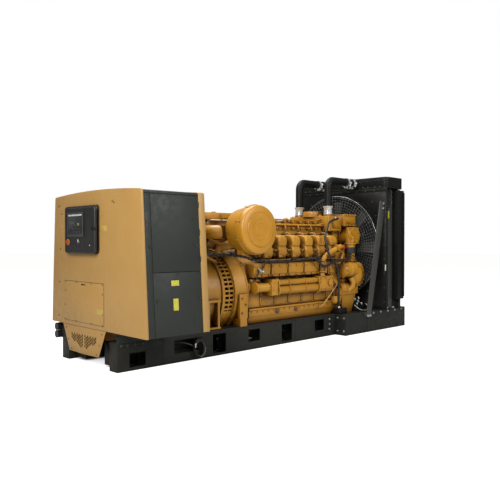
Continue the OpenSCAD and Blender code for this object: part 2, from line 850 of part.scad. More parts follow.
// ---- Air and exhaust ----
module turbochargers() color(orange) both() {
    foot_z = axis_z + gen_r + over;
    at(turbo_x, turbo_y, turbo_z) cyl_y(turbo_r, turbo_w);
    at(turbo_x, duct_y + seat, turbo_z) cyl_y(turbo_neck_r, turbo_y - duct_y);
    block_at(turbo_x - saddle_foot_l / 2, saddle_foot_y, foot_z,
        saddle_foot_l, saddle_foot_w, turbo_z - foot_z - turbo_neck_r / 2);
}
module exhaust_outlet() color(grey) difference() {
    duct_z = turbo_z - duct_drop;
    union() {
        block_at(turbo_x - duct_back, -duct_y, duct_z, duct_l, 2 * duct_y, duct_h);
        at(stack_x, 0, duct_z + duct_h - over)
            cylinder(r = exhaust_r + stack_wall, h = stack_rise + duct_drop - duct_h + over);
        at(stack_x, 0, turbo_z + stack_rise) cylinder(r = exhaust_r + stack_flange_w, h = stack_flange_t);
    }
    at(stack_x, 0, turbo_z) cylinder(r = exhaust_r, h = stack_rise + stack_flange_t + over);
    for (a = [0:45:315]) at(stack_x, 0, turbo_z + stack_rise - over) rotate([0, 0, a + 22.5])
        translate([exhaust_r + stack_bolts_w, 0, 0]) cylinder(r = stack_bolt_r, h = stack_flange_t + 2 * over);
}
module air_cleaner_frame() color(orange) both() {
    post_y = frame_y - post_w / 2;
    along_x(frame_x1 - post_l, post_l) polygon([
        [post_y, deck_at(post_y)], [post_y + post_w, deck_at(post_y + post_w)],
        [post_y + post_w, frame_z + over], [post_y, frame_z + over]]);
    block_at(frame_x, frame_y - frame_w / 2, frame_z, frame_x1 - frame_x, frame_w, frame_w);
    block_at(cleaner_x - arm_l / 2, frame_y + frame_w / 2 - over, frame_z + arm_in,
        arm_l, cleaner_y - frame_y - frame_w / 2 + over, frame_w - 2 * arm_in);
}
module air_cleaner() color(orange) at(cleaner_x, cleaner_y, cleaner_z) {
    cyl_y(cleaner_r, cleaner_l - lid_l);
    translate([0, cleaner_l - lid_l, 0]) rotate([-90, 0, 0])
        cylinder(r1 = cleaner_r, r2 = cleaner_r - lid_taper, h = lid_cone);
    translate([0, cleaner_l - lid_l + lid_cone - over, 0]) cyl_y(lid_step_r, lid_l - lid_cone + over);
}
module air_cleaner_left() air_cleaner();
module air_cleaner_right() right() air_cleaner();
module intake_elbows() color(orange) both() difference() {
    y0 = turbo_y + turbo_w + seat;
    bend_y = cleaner_y - elbow_r;
    union() {
        at(turbo_x, y0, turbo_z) cyl_y(elbow_r, bend_y - y0);
        at(turbo_x + elbow_bend, bend_y, turbo_z) rotate([0, 0, 90])
            rotate_extrude(angle = 90) translate([elbow_bend, 0]) circle(r = elbow_r);
        at(turbo_x + elbow_bend, bend_y + elbow_bend, turbo_z) cyl_x(elbow_r, elbow_end);
    }
    at(cleaner_x, cleaner_y - 2 * over, cleaner_z) cyl_y(cleaner_r + seat, cleaner_l);
}

// ---- Engine front ----
module front_gear_case() color(orange) along_x(block_x1, case_l) {
    half = [[case_foot_w, case_foot_z], [block_w - case_step, bracket_z0], [block_w - case_step, case_hip_z],
        [case_top_w, case_top_z]];
    polygon(concat(half, reversed(mirrored(half))));
}
module regulator_housing() color(orange) {
    block_at(tower_x, -tower_w / 2, tower_z0, tower_l, tower_w, tower_z - tower_z0);
    block_at(block_x1, -tower_base_w / 2, case_top_z, case_l, tower_base_w, tower_z0 - case_top_z);
    at(tower_x + dome_in, 0, tower_z) cylinder(r = dome_r, h = dome_h);
    block_at(tower_x + tower_l, -nose_w / 2, nose_z, nose_l, nose_w, nose_h);
}
module water_crossover() color(orange) {
    case_side_z = case_top_z - volute_y;
    difference() {
        union() {
            at(cross_x, -crossover_y, cross_z) cyl_y(cross_r, 2 * crossover_y);
            both() at(cross_x - drop_back, drop_y, volute_z) cylinder(r = drop_r, h = cross_z - volute_z);
            block_at(cross_x - saddle_l / 2, -saddle_w / 2, cross_z, saddle_l, saddle_w, nose_z - cross_z);
        }
        both() at(volute_x, 0, volute_z) cyl_y(volute_r + seat, 2 * crossover_y);
        both() block_at(block_x1, 0, case_side_z, case_l + seat, 2 * crossover_y, case_top_z - case_side_z);
    }
    both() at(cross_x, crossover_y, cross_z) cyl_y(cross_r + cross_flange_r, cross_flange_l);
}
module water_pumps() color(orange) both() difference() {
    union() {
        at(case_x1 + mount_in - pump_l, pump_y, pump_z) cyl_x(pump_r, pump_l);
        at(volute_x, volute_y, volute_z) cyl_y(volute_r, volute_w);
    }
    block_at(block_x, 0, pan_z1, case_x1 - block_x + seat, block_w - case_step + seat, case_top_z);
}
module crank_pulley() color(black) {
    at(case_x1, 0, axis_z) cyl_x(snout_r, pulley_x - case_x1);
    at(pulley_x, 0, axis_z) cyl_x(pulley_r, pulley_l);
}
// One closed loop, seated on the crank pulley and clear of the turning fan pulley
module fan_belt() color(black) along_x(pulley_x + belt_in, pulley_l - 2 * belt_in) difference() {
    belt_outline(pulley_r + seat + belt_t, pulley_r + belt_gap + belt_t);
    belt_outline(pulley_r + seat, pulley_r + belt_gap);
}
module belt_outline(r0, r1) {
    translate([0, axis_z]) circle(r = r0);
    translate([0, fan_z]) circle(r = r1);
    polygon([[-r0, axis_z], [r0, axis_z], [r1, fan_z], [-r1, fan_z]]);
}
module fan_drive() color(black) difference() {
    at(case_x1, 0, fan_z) cyl_x(shaft_r + drive_wall, pulley_x - drive_gap - case_x1);
    at(case_x1 + drive_floor, 0, fan_z) cyl_x(shaft_r + running, pulley_x - case_x1);
}
module blade() translate([hub_l / 2, 0, 0]) rotate([0, 0, blade_a])
    translate([-blade_t / 2, -blade_w / 2, hub_r - blade_root])
        cube([blade_t, blade_w, fan_r - hub_r + blade_root]);
module fan() color(grey) at(0, 0, fan_z) {
    translate([case_x1 + shaft_in, 0, 0]) cyl_x(shaft_r, fan_x - case_x1 - shaft_in + over);
    translate([pulley_x, 0, 0]) cyl_x(pulley_r, pulley_l);
    translate([fan_x, 0, 0]) {
        cyl_x(hub_r, hub_l);
        for (i = [0:fan_blades - 1]) rotate([i * 360 / fan_blades, 0, 0]) blade();
    }
}
module guard_ring(x, r) at(x, 0, fan_z) rotate([0, 90, 0]) rotate_extrude()
    translate([r - guard_t, 0]) square([guard_t, guard_t]);
module fan_guard() color(grey) {
    for (r = guard_rs) guard_ring(guard_x, r);
    guard_ring(shroud_x - guard_t, guard_r);
    for (i = [0:guard_bars - 1]) at(guard_x, 0, fan_z) rotate([i * 360 / guard_bars, 0, 0]) {
        translate([over, -bar_w / 2, guard_hub_r - guard_t / 2])
            cube([guard_t - 2 * over, bar_w, guard_r - guard_hub_r]);
        translate([guard_t / 2, -strut_w / 2, guard_r - guard_t + over])
            cube([shroud_x - guard_x - guard_t, strut_w, guard_t - 2 * over]);
    }
}
module fan_shroud() color(black) difference() {
    union() {
        block_at(shroud_x, -shroud_w / 2, rail_h, shroud_t, shroud_w, tank_z - rail_h);
        block_at(shroud_x, -shroud_box_w / 2, rail_h, core_x - shroud_x, shroud_box_w, tank_z - rail_h);
    }
    at(shroud_x - over, 0, fan_z) cyl_x(fan_r + tip_gap, shroud_t + 2 * over);
    block_at(shroud_x + shroud_t, -shroud_box_w / 2 + shroud_t, rail_h + shroud_t,
        core_x - shroud_x, shroud_box_w - 2 * shroud_t, tank_z - rail_h - 2 * shroud_t);
}
module radiator_core() color(black)
    block_at(core_x, -core_w / 2, core_z, core_l, core_w, tank_z - core_z);
// Two side posts on feet, joined by a base under the core
module radiator_frame() color(black) {
    base_y = core_w / 2 - base_setback;
    foot_z = core_z - frame_foot_gap;
    both() {
        block_at(core_x, core_w / 2, core_z, core_l, frame_l, tank_z - frame_short - core_z);
        block_at(frame_foot_x, base_y - over, rail_h,
            frame_foot_l, base_setback + frame_l / 2 + over, foot_z - rail_h);
        block_at(frame_foot_x + foot_peg_in, core_w / 2 + over, foot_z - over,
            frame_foot_l - 2 * foot_peg_in, frame_l / 2 - 2 * over, core_z - foot_z + 2 * over);
    }
    block_at(core_x, -base_y, rail_h, core_l, 2 * base_y, core_z - rail_h);
}
module top_tank() color(black) at(shroud_x, 0, tank_z) linear_extrude(tank_h) difference() {
    translate([0, -tank_w / 2]) square([tank_l, tank_w]);
    for (s = [-1, 1]) difference() {
        translate([-over, s * (tank_w - tank_corner) / 2 - (tank_corner / 2 + (s > 0 ? 0 : over))])
            square([tank_corner + over, tank_corner + over]);
        translate([tank_corner, s * (tank_w / 2 - tank_corner)]) circle(r = tank_corner);
    }
}
module radiator_columns() color(grey) both()
    block_at(column_x, column_y, rail_h, column_l, column_w, tank_z - rail_h);
module radiator_braces() color(grey) both() {
    x0 = shroud_x - brace_l - brace_lean;
    along_y(brace_y, brace_t) polygon([
        [x0, rail_h - brace_drop], [x0 + brace_l, rail_h - brace_drop],
        [shroud_x, brace_z - brace_h], [shroud_x, brace_z], [shroud_x - brace_l, brace_z]]);
    block_at(x0 + bracket_in, outrigger_y1, rail_h - bracket_drop,
        brace_l - bracket_in, brace_y - outrigger_y1, bracket_drop);
}
module coolant_pipes() color(black) both() at(pipe_x, pipe_y, 0) {
    translate([0, 0, tower_z + sleeve_l]) cylinder(r = pipe_r, h = pipe_z - bend_r - tower_z - sleeve_l);
    translate([bend_r, 0, pipe_z - bend_r]) rotate([90, 0, 180])
        rotate_extrude(angle = 90) translate([bend_r, 0]) circle(r = pipe_r);
    translate([bend_r, 0, pipe_z]) cyl_x(pipe_r, shroud_x - pipe_x - bend_r);
}
module pipe_clamps() color(silver) both() {
    at(pipe_x, pipe_y, tower_z) cylinder(r = pipe_r + sleeve_wall, h = sleeve_l - band_t);
    at(pipe_x, pipe_y, tower_z + sleeve_l - band_t) cylinder(r = pipe_r + band_rise, h = band_t);
    for (dx = clamp_xs) let (x = shroud_x - dx - clamp_l) difference() {
        union() {
            at(x, pipe_y, pipe_z) cyl_x(pipe_r + clamp_wall, clamp_l);
            block_at(x, pipe_y - clamp_l / 2, pipe_z - pipe_r - clamp_bolt_l, clamp_l, clamp_l, clamp_bolt_l);
        }
        at(x - over, pipe_y, pipe_z) cyl_x(pipe_r + seat, clamp_l + 2 * over);
    }
}

// ---- Lines ----
// Route of the loom, measured from the terminal box and stretched to the pump below the crossover
harness_x = box_x + box_l + seat;
harness_route = [
    [0, box_y + 25, 1196], [42, box_y + 25, 1196], [122, 605, 1196], [422, 590, 1188], [722, 590, 1172],
    [922, 594, 1155], [1072, 596, 1140], [1172, 596, 1110], [1322, 596, 1084], [1622, 600, 1076],
    [2022, 606, 1074], [2322, 614, 1076], [2442, 630, 1082], [2542, 660, 1090], [2642, 672, 1084],
    [2742, 672, 1064], [2822, 672, 1048], [2922, 672, 1052], [3042, 660, 1076], [3172, 610, 1120],
    [3282, 540, 1165], [3332, 500, 1180]];
harness_k = (case_x1 + 32 - harness_x) / 3332;
module wiring_harness() color(black) both()
    swept([for (p = harness_route) [harness_x + harness_k * p[0], p[1], p[2]]], 14);
// Route of the breather hose, measured from the engine's front
hose_route = [
    [-180, tower_w / 2 + seat, 1670], [-180, 410, 1670], [-210, 460, 1662], [-260, 520, 1630],
    [-305, 570, 1570], [-325, 610, 1480], [-325, 640, 1380], [-300, 665, 1270], [-250, 690, 1160],
    [-190, 705, 1060], [-150, 712, 960], [-135, 712, 840], [-130, 712, 700], [-130, 712, 560],
    [-130, 712, 430], [-130, 712, rail_h + seat]];
module breather_hose() color(black) right()
    swept([for (p = hose_route) [case_x1 + p[0], p[1], p[2]]], 15, up = [1, 0, 0]);
module battery_leads() color(black) right() at(coil_x, rail_y1 + lead_r + seat, coil_z) rotate([90, 0, 0])
    rotate_extrude() translate([coil_r, 0]) circle(r = lead_r);
module cable_glands() color(black) {
    plate_top_z = hood_z - support_t;
    block_at(gland_plate_x, gland_y - gland_plate_w / 2, gland_z - gland_hang,
        gland_plate_t, gland_plate_w, plate_top_z - gland_z + gland_hang);
    for (z = [gland_z, gland_z - gland_pitch])
        at(gland_plate_x - gland_l, gland_y, z) cyl_x(gland_r, gland_l + over);
}

skid_rail_right();
skid_rail_left();
skid_cross_members();
outriggers();
generator_frame();
generator_vent_ring();
generator_feet();
flywheel_housing();
hood_supports();
hood_front_panel();
hood_roof();
hood_side_panel_right();
hood_side_panel_left();
hood_rear_trim();
terminal_box_top();
terminal_box_sides();
hood_vent_apron();
access_cover();
control_case();
control_door();
display_module();
panel_switches();
engine_block();
oil_pan();
engine_supports();
cylinder_heads_right();
cylinder_heads_left();
valve_covers_right();
valve_covers_left();
camshaft_covers();
oil_cooler_tubes();
oil_cooler_pipes();
aftercooler();
turbochargers();
exhaust_outlet();
air_cleaner_frame();
air_cleaner_right();
air_cleaner_left();
intake_elbows();
front_gear_case();
regulator_housing();
water_crossover();
water_pumps();
crank_pulley();
fan_belt();
fan_drive();
fan();
fan_guard();
fan_shroud();
radiator_core();
radiator_frame();
top_tank();
radiator_columns();
radiator_braces();
coolant_pipes();
pipe_clamps();
wiring_harness();
breather_hose();
battery_leads();
cable_glands();
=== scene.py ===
# %% [markdown]
# # A diesel generator set
#
# A twelve-cylinder engine drives a generator on one welded skid. This lesson dresses its
# fixed model: it brings in the solids, sets up camera and light, mixes the paints, and then
# models the detail that the solids leave out, from the hood at one end to the radiator at
# the other. All lengths are metres.

# %% Load the solids
import math

import bpy
from mathutils import Matrix, Vector


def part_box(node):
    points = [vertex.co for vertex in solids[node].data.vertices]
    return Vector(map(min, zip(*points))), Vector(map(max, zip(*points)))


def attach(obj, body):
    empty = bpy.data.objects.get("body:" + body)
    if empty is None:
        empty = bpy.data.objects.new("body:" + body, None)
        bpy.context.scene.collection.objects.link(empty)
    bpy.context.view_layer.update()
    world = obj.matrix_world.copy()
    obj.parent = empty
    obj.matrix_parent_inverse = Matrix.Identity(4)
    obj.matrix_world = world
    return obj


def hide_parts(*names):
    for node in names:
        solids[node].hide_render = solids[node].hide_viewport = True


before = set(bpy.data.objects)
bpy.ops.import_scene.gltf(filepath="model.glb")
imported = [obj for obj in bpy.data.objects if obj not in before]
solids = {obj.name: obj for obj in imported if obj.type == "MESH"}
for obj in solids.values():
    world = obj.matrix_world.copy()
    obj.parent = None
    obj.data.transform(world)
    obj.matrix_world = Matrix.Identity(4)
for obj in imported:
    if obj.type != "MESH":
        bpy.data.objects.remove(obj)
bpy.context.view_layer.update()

# %% [markdown]
# Places below are worked out from the solids' own boxes where these give them, and are
# given as numbers elsewhere. Along the set, the makers count from the generator end of the
# skid, so `at` takes such a distance and gives a point.

# %% Where things are
RIGHT, LEFT = SIDES = -1, 1
skid_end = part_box("skid_rail_right")[0].x
skid_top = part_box("skid_rail_right")[1].z
shaft_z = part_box("crank_pulley")[0].z / 2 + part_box("crank_pulley")[1].z / 2


def at(x, y, z):
    """A point at x metres from the generator end of the skid."""
    return Vector((skid_end + x, y, z))


def side_route(side, *points):
    """Points of a run on one side, each given as for `at`."""
    return [at(x, side * y, z) for x, y, z in points]


def low(node):
    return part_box(node)[0]


def high(node):
    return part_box(node)[1]


print("crankshaft height:", round(shaft_z, 3), "skid top:", round(skid_top, 3))

# %% [markdown]
# ## Camera, floor and light
#
# The machine is seen from its right, past the control panel. A lens of 42.6 mm from about
# seven metres away keeps the near hood large without making the far radiator tiny.

# %% Camera
scene = bpy.context.scene
scene.view_settings.view_transform = "Standard"
eye = Vector((-4.823, -5.78, 1.332))
looking = Vector((0.696, 0.718, -0.0149)).normalized()
bpy.ops.object.camera_add(location=eye, rotation=looking.to_track_quat("-Z", "Y").to_euler())
camera = bpy.context.object
camera.data.lens = 42.56
camera.data.sensor_width = 36
camera.data.clip_end = 200
scene.camera = camera
print("camera looks along", [round(v, 3) for v in looking])

# %% [markdown]
# Paint colours are written as sRGB hex, as on a colour chart, and Blender calculates in
# linear light, so one function turns them. Another adds a shader node with its settings and
# its links, because a material here is a short list of such nodes.

# %% Two helpers for materials
def linear(code):
    """An sRGB hex colour as linear RGBA."""
    parts = [int(code[i : i + 2], 16) / 255 for i in (1, 3, 5)]
    return [p / 12.92 if p <= 0.04045 else ((p + 0.055) / 1.055) ** 2.4 for p in parts] + [1]


def add(tree, kind, settings=None, **sockets):
    """Adds one node. Each socket takes a value or another node's output."""
    made = tree.nodes.new("ShaderNode" + kind)
    for name, value in (settings or {}).items():
        setattr(made, name, value)
    for name, value in sockets.items():
        socket = made.inputs[name.replace("_", " ")]
        if isinstance(value, bpy.types.NodeSocket):
            tree.links.new(value, socket)
        else:
            socket.default_value = value
    return made


# %% [markdown]
# The floor is a large pale sheet. Seen directly it is lifted to white by its own colour, so
# that the lamps needn't be turned up. The lift fades where the sheet is covered, so it stays
# dark under the skid, as a real floor does.

# %% Floor
bpy.ops.mesh.primitive_circle_add(vertices=96, radius=60, fill_type="NGON", location=(0, 0, 0))
floor = bpy.context.object
floor.name = "floor"
bpy.ops.object.transform_apply(location=True, rotation=True, scale=True)
paper = bpy.data.materials.new("white_studio_paper")
paper.use_nodes = True
tree = paper.node_tree
tree.nodes.clear()
seen = add(tree, "LightPath")
direct = add(tree, "Math", {"operation": "MAXIMUM"})
tree.links.new(seen.outputs["Is Camera Ray"], direct.inputs[0])
tree.links.new(seen.outputs["Is Transmission Ray"], direct.inputs[1])
shaded = add(tree, "BsdfDiffuse", Color=linear("#C4C3C1"))
open_air = add(tree, "AmbientOcclusion", {"samples": 12}, Distance=0.45)
shadow = add(tree, "MapRange", Value=open_air.outputs["AO"], From_Min=0.03, From_Max=0.3)
bright = add(tree, "Emission", Color=linear("#F2F2F2"), Strength=shadow.outputs[0])
lifted = add(tree, "AddShader")
tree.links.new(shaded.outputs[0], lifted.inputs[0])
tree.links.new(bright.outputs[0], lifted.inputs[1])
both_ways = add(tree, "MixShader", Fac=direct.outputs[0])
tree.links.new(shaded.outputs[0], both_ways.inputs[1])
tree.links.new(lifted.outputs[0], both_ways.inputs[2])
end = add(tree, "OutputMaterial")
tree.links.new(both_ways.outputs[0], end.inputs["Surface"])
floor.data.materials.append(paper)

# %% [markdown]
# The room is white where the camera or a reflection sees it and softer where it only
# lights the paint. Three large lamps do the rest: one over the camera's left shoulder, one
# low on the right, and one overhead.

# %% Room and lamps
room = bpy.data.worlds.new("studio")
room.use_nodes = True
scene.world = room
tree = room.node_tree
tree.nodes.clear()
seen = add(tree, "LightPath")
camera_or_gloss = add(tree, "Math", {"operation": "MAXIMUM"})
tree.links.new(seen.outputs["Is Camera Ray"], camera_or_gloss.inputs[0])
tree.links.new(seen.outputs["Is Transmission Ray"], camera_or_gloss.inputs[1])
white = add(tree, "Background", Color=(1, 1, 1, 1), Strength=1.0)
gloss = add(tree, "Background", Color=linear("#F4F5F7"), Strength=0.26)
soft = add(tree, "Background", Color=linear("#F2F1EE"), Strength=0.2)
lit = add(tree, "MixShader", Fac=seen.outputs["Is Glossy Ray"])
tree.links.new(soft.outputs[0], lit.inputs[1])
tree.links.new(gloss.outputs[0], lit.inputs[2])
all_round = add(tree, "MixShader", Fac=camera_or_gloss.outputs[0])
tree.links.new(lit.outputs[0], all_round.inputs[1])
tree.links.new(white.outputs[0], all_round.inputs[2])
end = add(tree, "OutputWorld")
tree.links.new(all_round.outputs[0], end.inputs["Surface"])


def lamp(name, place, target, size, watts, colour="#FFFFFF"):
    aim = (Vector(target) - Vector(place)).to_track_quat("-Z", "Y").to_euler()
    bpy.ops.object.light_add(type="AREA", location=place, rotation=aim)
    made = bpy.context.object
    made.name = name
    made.data.shape = "DISK"
    made.data.size = size
    made.data.energy = watts
    made.data.color = linear(colour)[:3]
    return made


lamp("lamp_left", (-7.2, -4.2, 5.2), (-0.2, -0.4, 1.1), 4.5, 810, "#FFFAF2")
lamp("lamp_right", (2.0, -8.0, 5.2), (0.8, 0, 1.0), 4.0, 380, "#FFFDF8")
lamp("lamp_above", (0.5, 1.5, 7.5), (0.8, 0, 0), 5.0, 520)

# %% [markdown]
# ## Finishes
#
# Each finish starts as a Principled shader with the surface's own coordinates. Patterns are
# in cycles per metre, so a grain 20 mm across has a scale of 50.

# %% A blank finish
finishes = {}


def finish(name, roughness, metallic=0.0):
    """A new material; returns its tree, its Principled shader and its object coordinates."""
    made = bpy.data.materials.new(name)
    made.use_nodes = True
    tree = made.node_tree
    tree.nodes.clear()
    shader = add(tree, "BsdfPrincipled", Roughness=roughness, Metallic=metallic)
    end = add(tree, "OutputMaterial")
    tree.links.new(shader.outputs[0], end.inputs["Surface"])
    place = add(tree, "TexCoord").outputs["Object"]
    finishes[name] = made
    return tree, shader, place


def blotches(tree, place, scale, detail=3.0, low_value=0.4, high_value=0.6):
    """Soft noise stretched to 0..1, as a mask."""
    cloud = add(tree, "TexNoise", Vector=place, Scale=scale, Detail=detail)
    return add(tree, "MapRange", Value=cloud.outputs["Fac"], From_Min=low_value,
        From_Max=high_value).outputs[0]


# %% [markdown]
# Most of the machine is sprayed paint. A thick two-pack enamel runs a little on rough cast
# iron and keeps its gloss; powder coat on sheet steel is flatter and finer. Both fade in
# soft patches and hold pale dust on the faces that look up. On the engine, an
# ambient-occlusion node darkens the corners towards brown, which is painted shade. The ripple
# of the paint is 2 to 4 mm across on the real thing and is drawn about four times as coarse,
# because finer ripple would not show from here.

# %% Sprayed paint
def sprayed(name, fresh, worn, dusty, roughness, ripple_mm, ripple_depth, gloss=0.5, corner_shade=None):
    tree, shader, place = finish(name, roughness)
    patches = blotches(tree, place, 2.2, 4.0, 0.35, 0.7)
    colour = add(tree, "MixRGB", Fac=patches, Color1=linear(fresh), Color2=linear(worn))
    up = add(tree, "SeparateXYZ", Vector=add(tree, "NewGeometry").outputs["Normal"]).outputs["Z"]
    facing_up = add(tree, "MapRange", Value=up, From_Min=0.55, From_Max=1.0, To_Max=0.45)
    settled = add(tree, "Math", {"operation": "MULTIPLY"})
    tree.links.new(facing_up.outputs[0], settled.inputs[0])
    tree.links.new(blotches(tree, place, 9.0, 5.0, 0.3, 0.75), settled.inputs[1])
    dusted = add(tree, "MixRGB", Fac=settled.outputs[0], Color1=colour.outputs[0], Color2=linear(dusty))
    top_coat = dusted.outputs[0]
    # Painted shade: the corners that the ambient-occlusion node finds are darkened towards a dark brown.
    if corner_shade:
        corner = add(tree, "AmbientOcclusion", {"samples": 4}, Distance=0.16)
        unshaded = add(tree, "MapRange", Value=corner.outputs["AO"], From_Min=0.3, From_Max=0.92)
        top_coat = add(tree, "MixRGB", Fac=unshaded.outputs[0], Color1=linear(corner_shade),
            Color2=top_coat).outputs[0]
    tree.links.new(top_coat, shader.inputs["Base Color"])
    sheen_map = add(tree, "MapRange", Value=blotches(tree, place, 14.0, 2.0), To_Min=roughness - 0.06,
        To_Max=roughness + 0.06)
    tree.links.new(sheen_map.outputs[0], shader.inputs["Roughness"])
    shader.inputs["Specular IOR Level"].default_value = gloss
    ripple = add(tree, "TexNoise", Vector=place, Scale=1000 / ripple_mm, Detail=2.0)
    bump = add(tree, "Bump", Strength=0.5, Distance=ripple_depth, Height=ripple.outputs["Fac"])
    tree.links.new(bump.outputs[0], shader.inputs["Normal"])
    return finishes[name]


hood_yellow = sprayed("yellow_powder_coat", "#A38048", "#9D7A41", "#B09366", 0.46, 14, 0.0006)
# The engine's enamel is darkened in its corners, which is painted shade.
engine_enamel = sprayed("orange_enamel_on_cast_iron", "#B5811F", "#A67315", "#C0994C", 0.42, 22, 0.0022,
    gloss=0.55, corner_shade="#522B04")
door_coat = sprayed("charcoal_powder_coat", "#262A28", "#2A2E2C", "#3A3C38", 0.52, 12, 0.0005, gloss=0.25)
skid_enamel = sprayed("black_chassis_enamel", "#1E1F1D", "#242522", "#35352F", 0.48, 24, 0.001,
    gloss=0.25)
radiator_enamel = sprayed("black_radiator_enamel", "#0E0F0F", "#121313", "#1E1F1D", 0.5, 20, 0.0008,
    gloss=0.2)
post_enamel = sprayed("grey_post_enamel", "#383937", "#3E3F3C", "#50504B", 0.45, 20, 0.0008, gloss=0.3)
print("paints:", sorted(finishes))

# %% [markdown]
# Bare metal comes next. Zinc plate on clamps and bolts is bright and slightly blue, with
# fine turning marks. The exhaust stub has been hot, so its steel is brown in patches. Wire
# for the guard is drawn steel under a thin dark lacquer.

# %% Metals
tree, shader, place = finish("zinc_plated_steel", 0.3, 1.0)
streaks = add(tree, "TexNoise", Vector=add(tree, "Mapping", Vector=place, Scale=(40, 40, 220)).outputs[0],
    Scale=1.0)
tint = add(tree, "MixRGB", Fac=streaks.outputs["Fac"], Color1=linear("#B4B9BE"), Color2=linear("#D8DBDC"))
tree.links.new(tint.outputs[0], shader.inputs["Base Color"])
spread = add(tree, "MapRange", Value=streaks.outputs["Fac"], To_Min=0.22, To_Max=0.42)
tree.links.new(spread.outputs[0], shader.inputs["Roughness"])
zinc = finishes["zinc_plated_steel"]

tree, shader, place = finish("heat_stained_steel", 0.42, 1.0)
stain = blotches(tree, place, 7.0, 6.0, 0.35, 0.68)
tint = add(tree, "MixRGB", Fac=stain, Color1=linear("#8E8A84"), Color2=linear("#6E543C"))
tree.links.new(tint.outputs[0], shader.inputs["Base Color"])
scale_marks = add(tree, "TexNoise", Vector=place, Scale=60.0, Detail=6.0)
bump = add(tree, "Bump", Strength=0.4, Distance=0.001, Height=scale_marks.outputs["Fac"])
tree.links.new(bump.outputs[0], shader.inputs["Normal"])
hot_steel = finishes["heat_stained_steel"]

tree, shader, place = finish("lacquered_guard_wire", 0.34, 0.4)
dull = blotches(tree, place, 5.0, 3.0)
tint = add(tree, "MixRGB", Fac=dull, Color1=linear("#606364"), Color2=linear("#787B7B"))
tree.links.new(tint.outputs[0], shader.inputs["Base Color"])
wire_lacquer = finishes["lacquered_guard_wire"]

# Clamp steel is near white and only partly metallic: the colour paints the highlights the clamps catch.
tree, shader, place = finish("clamp_steel_painted_highlight", 0.28, 0.6)
brushed = add(tree, "TexNoise", Vector=place, Scale=70.0, Detail=2.0)
tint = add(tree, "MixRGB", Fac=brushed.outputs["Fac"], Color1=linear("#C2C6CA"), Color2=linear("#E2E4E5"))
tree.links.new(tint.outputs[0], shader.inputs["Base Color"])
clamp_steel = finishes["clamp_steel_painted_highlight"]

# The guard's front rim is lighter than its wires, a painted highlight.
tree, shader, place = finish("guard_rim_painted_highlight", 0.3, 0.8)
tint = add(tree, "MixRGB", Fac=blotches(tree, place, 8.0), Color1=linear("#8A8D8E"),
    Color2=linear("#A6A8A8"))
tree.links.new(tint.outputs[0], shader.inputs["Base Color"])
rim_highlight_wire = finishes["guard_rim_painted_highlight"]

# %% [markdown]
# The radiator's core is hundreds of thin fins between flat tubes. From the side they read
# as fine horizontal lines crossed by wider upright ones, so two wave patterns, 9 mm and
# 26 mm apart, raise the fins and paint them lighter and the gaps darker: painted light and shade.

# %% Radiator fins
def every(mm):
    """The scale of a wave texture whose lines are this far apart."""
    return 1000 / mm / 6.2832 * 2


tree, shader, place = finish("black_copper_fins", 0.5)
fins = add(tree, "TexWave", {"bands_direction": "Z"}, Vector=place, Scale=every(9), Distortion=0.4,
    Detail=1.0)
tubes = add(tree, "TexWave", {"bands_direction": "Y"}, Vector=place, Scale=every(26))
crossed = add(tree, "Math", {"operation": "MULTIPLY"})
tree.links.new(fins.outputs["Fac"], crossed.inputs[0])
tree.links.new(tubes.outputs["Fac"], crossed.inputs[1])
# The fins are lighter and the gaps darker: painted light and shade.
tint = add(tree, "MixRGB", Fac=crossed.outputs[0], Color1=linear("#0B0C0C"), Color2=linear("#34373A"))
tree.links.new(tint.outputs[0], shader.inputs["Base Color"])
bump = add(tree, "Bump", Strength=0.7, Distance=0.003, Height=crossed.outputs[0])
tree.links.new(bump.outputs[0], shader.inputs["Normal"])
core_fins = finishes["black_copper_fins"]

# %% [markdown]
# The control panel is moulded in a black, spark-eroded plastic with a fine matt grain, and
# its screen is glossy. Cable glands are plain nylon.

# %% Plastics
tree, shader, place = finish("grained_black_abs", 0.5)
grain = add(tree, "TexNoise", Vector=place, Scale=140.0, Detail=3.0)
tint = add(tree, "MixRGB", Fac=blotches(tree, place, 6.0), Color1=linear("#161718"),
    Color2=linear("#1D1E1F"))
tree.links.new(tint.outputs[0], shader.inputs["Base Color"])
bump = add(tree, "Bump", Strength=0.35, Distance=0.0006, Height=grain.outputs["Fac"])
tree.links.new(bump.outputs[0], shader.inputs["Normal"])
grained_abs = finishes["grained_black_abs"]

# The screen grows lighter towards its top, a painted reflection.
tree, shader, place = finish("smoked_screen", 0.12)
screen_point = add(tree, "SeparateXYZ", Vector=place)
top_reflection_fade = add(tree, "MapRange", Value=screen_point.outputs["Z"], From_Min=1.37, From_Max=1.64)
tint = add(tree, "MixRGB", Fac=top_reflection_fade.outputs[0], Color1=linear("#1E2123"), Color2=linear("#282B2D"))
tree.links.new(tint.outputs[0], shader.inputs["Base Color"])
shader.inputs["Specular IOR Level"].default_value = 0.6
smoked_screen = finishes["smoked_screen"]

tree, shader, place = finish("black_nylon", 0.42)
tint = add(tree, "MixRGB", Fac=blotches(tree, place, 30.0), Color1=linear("#141516"),
    Color2=linear("#1D1E1F"))
tree.links.new(tint.outputs[0], shader.inputs["Base Color"])
nylon = finishes["black_nylon"]


def gloss_plastic(name, code, deep, roughness=0.3, shine=0.5):
    """A small moulded part in one colour, a little deeper in random patches."""
    tree, shader, place = finish(name, roughness)
    tint = add(tree, "MixRGB", Fac=blotches(tree, place, 45.0), Color1=linear(code), Color2=linear(deep))
    tree.links.new(tint.outputs[0], shader.inputs["Base Color"])
    shader.inputs["Specular IOR Level"].default_value = shine
    return finishes[name]


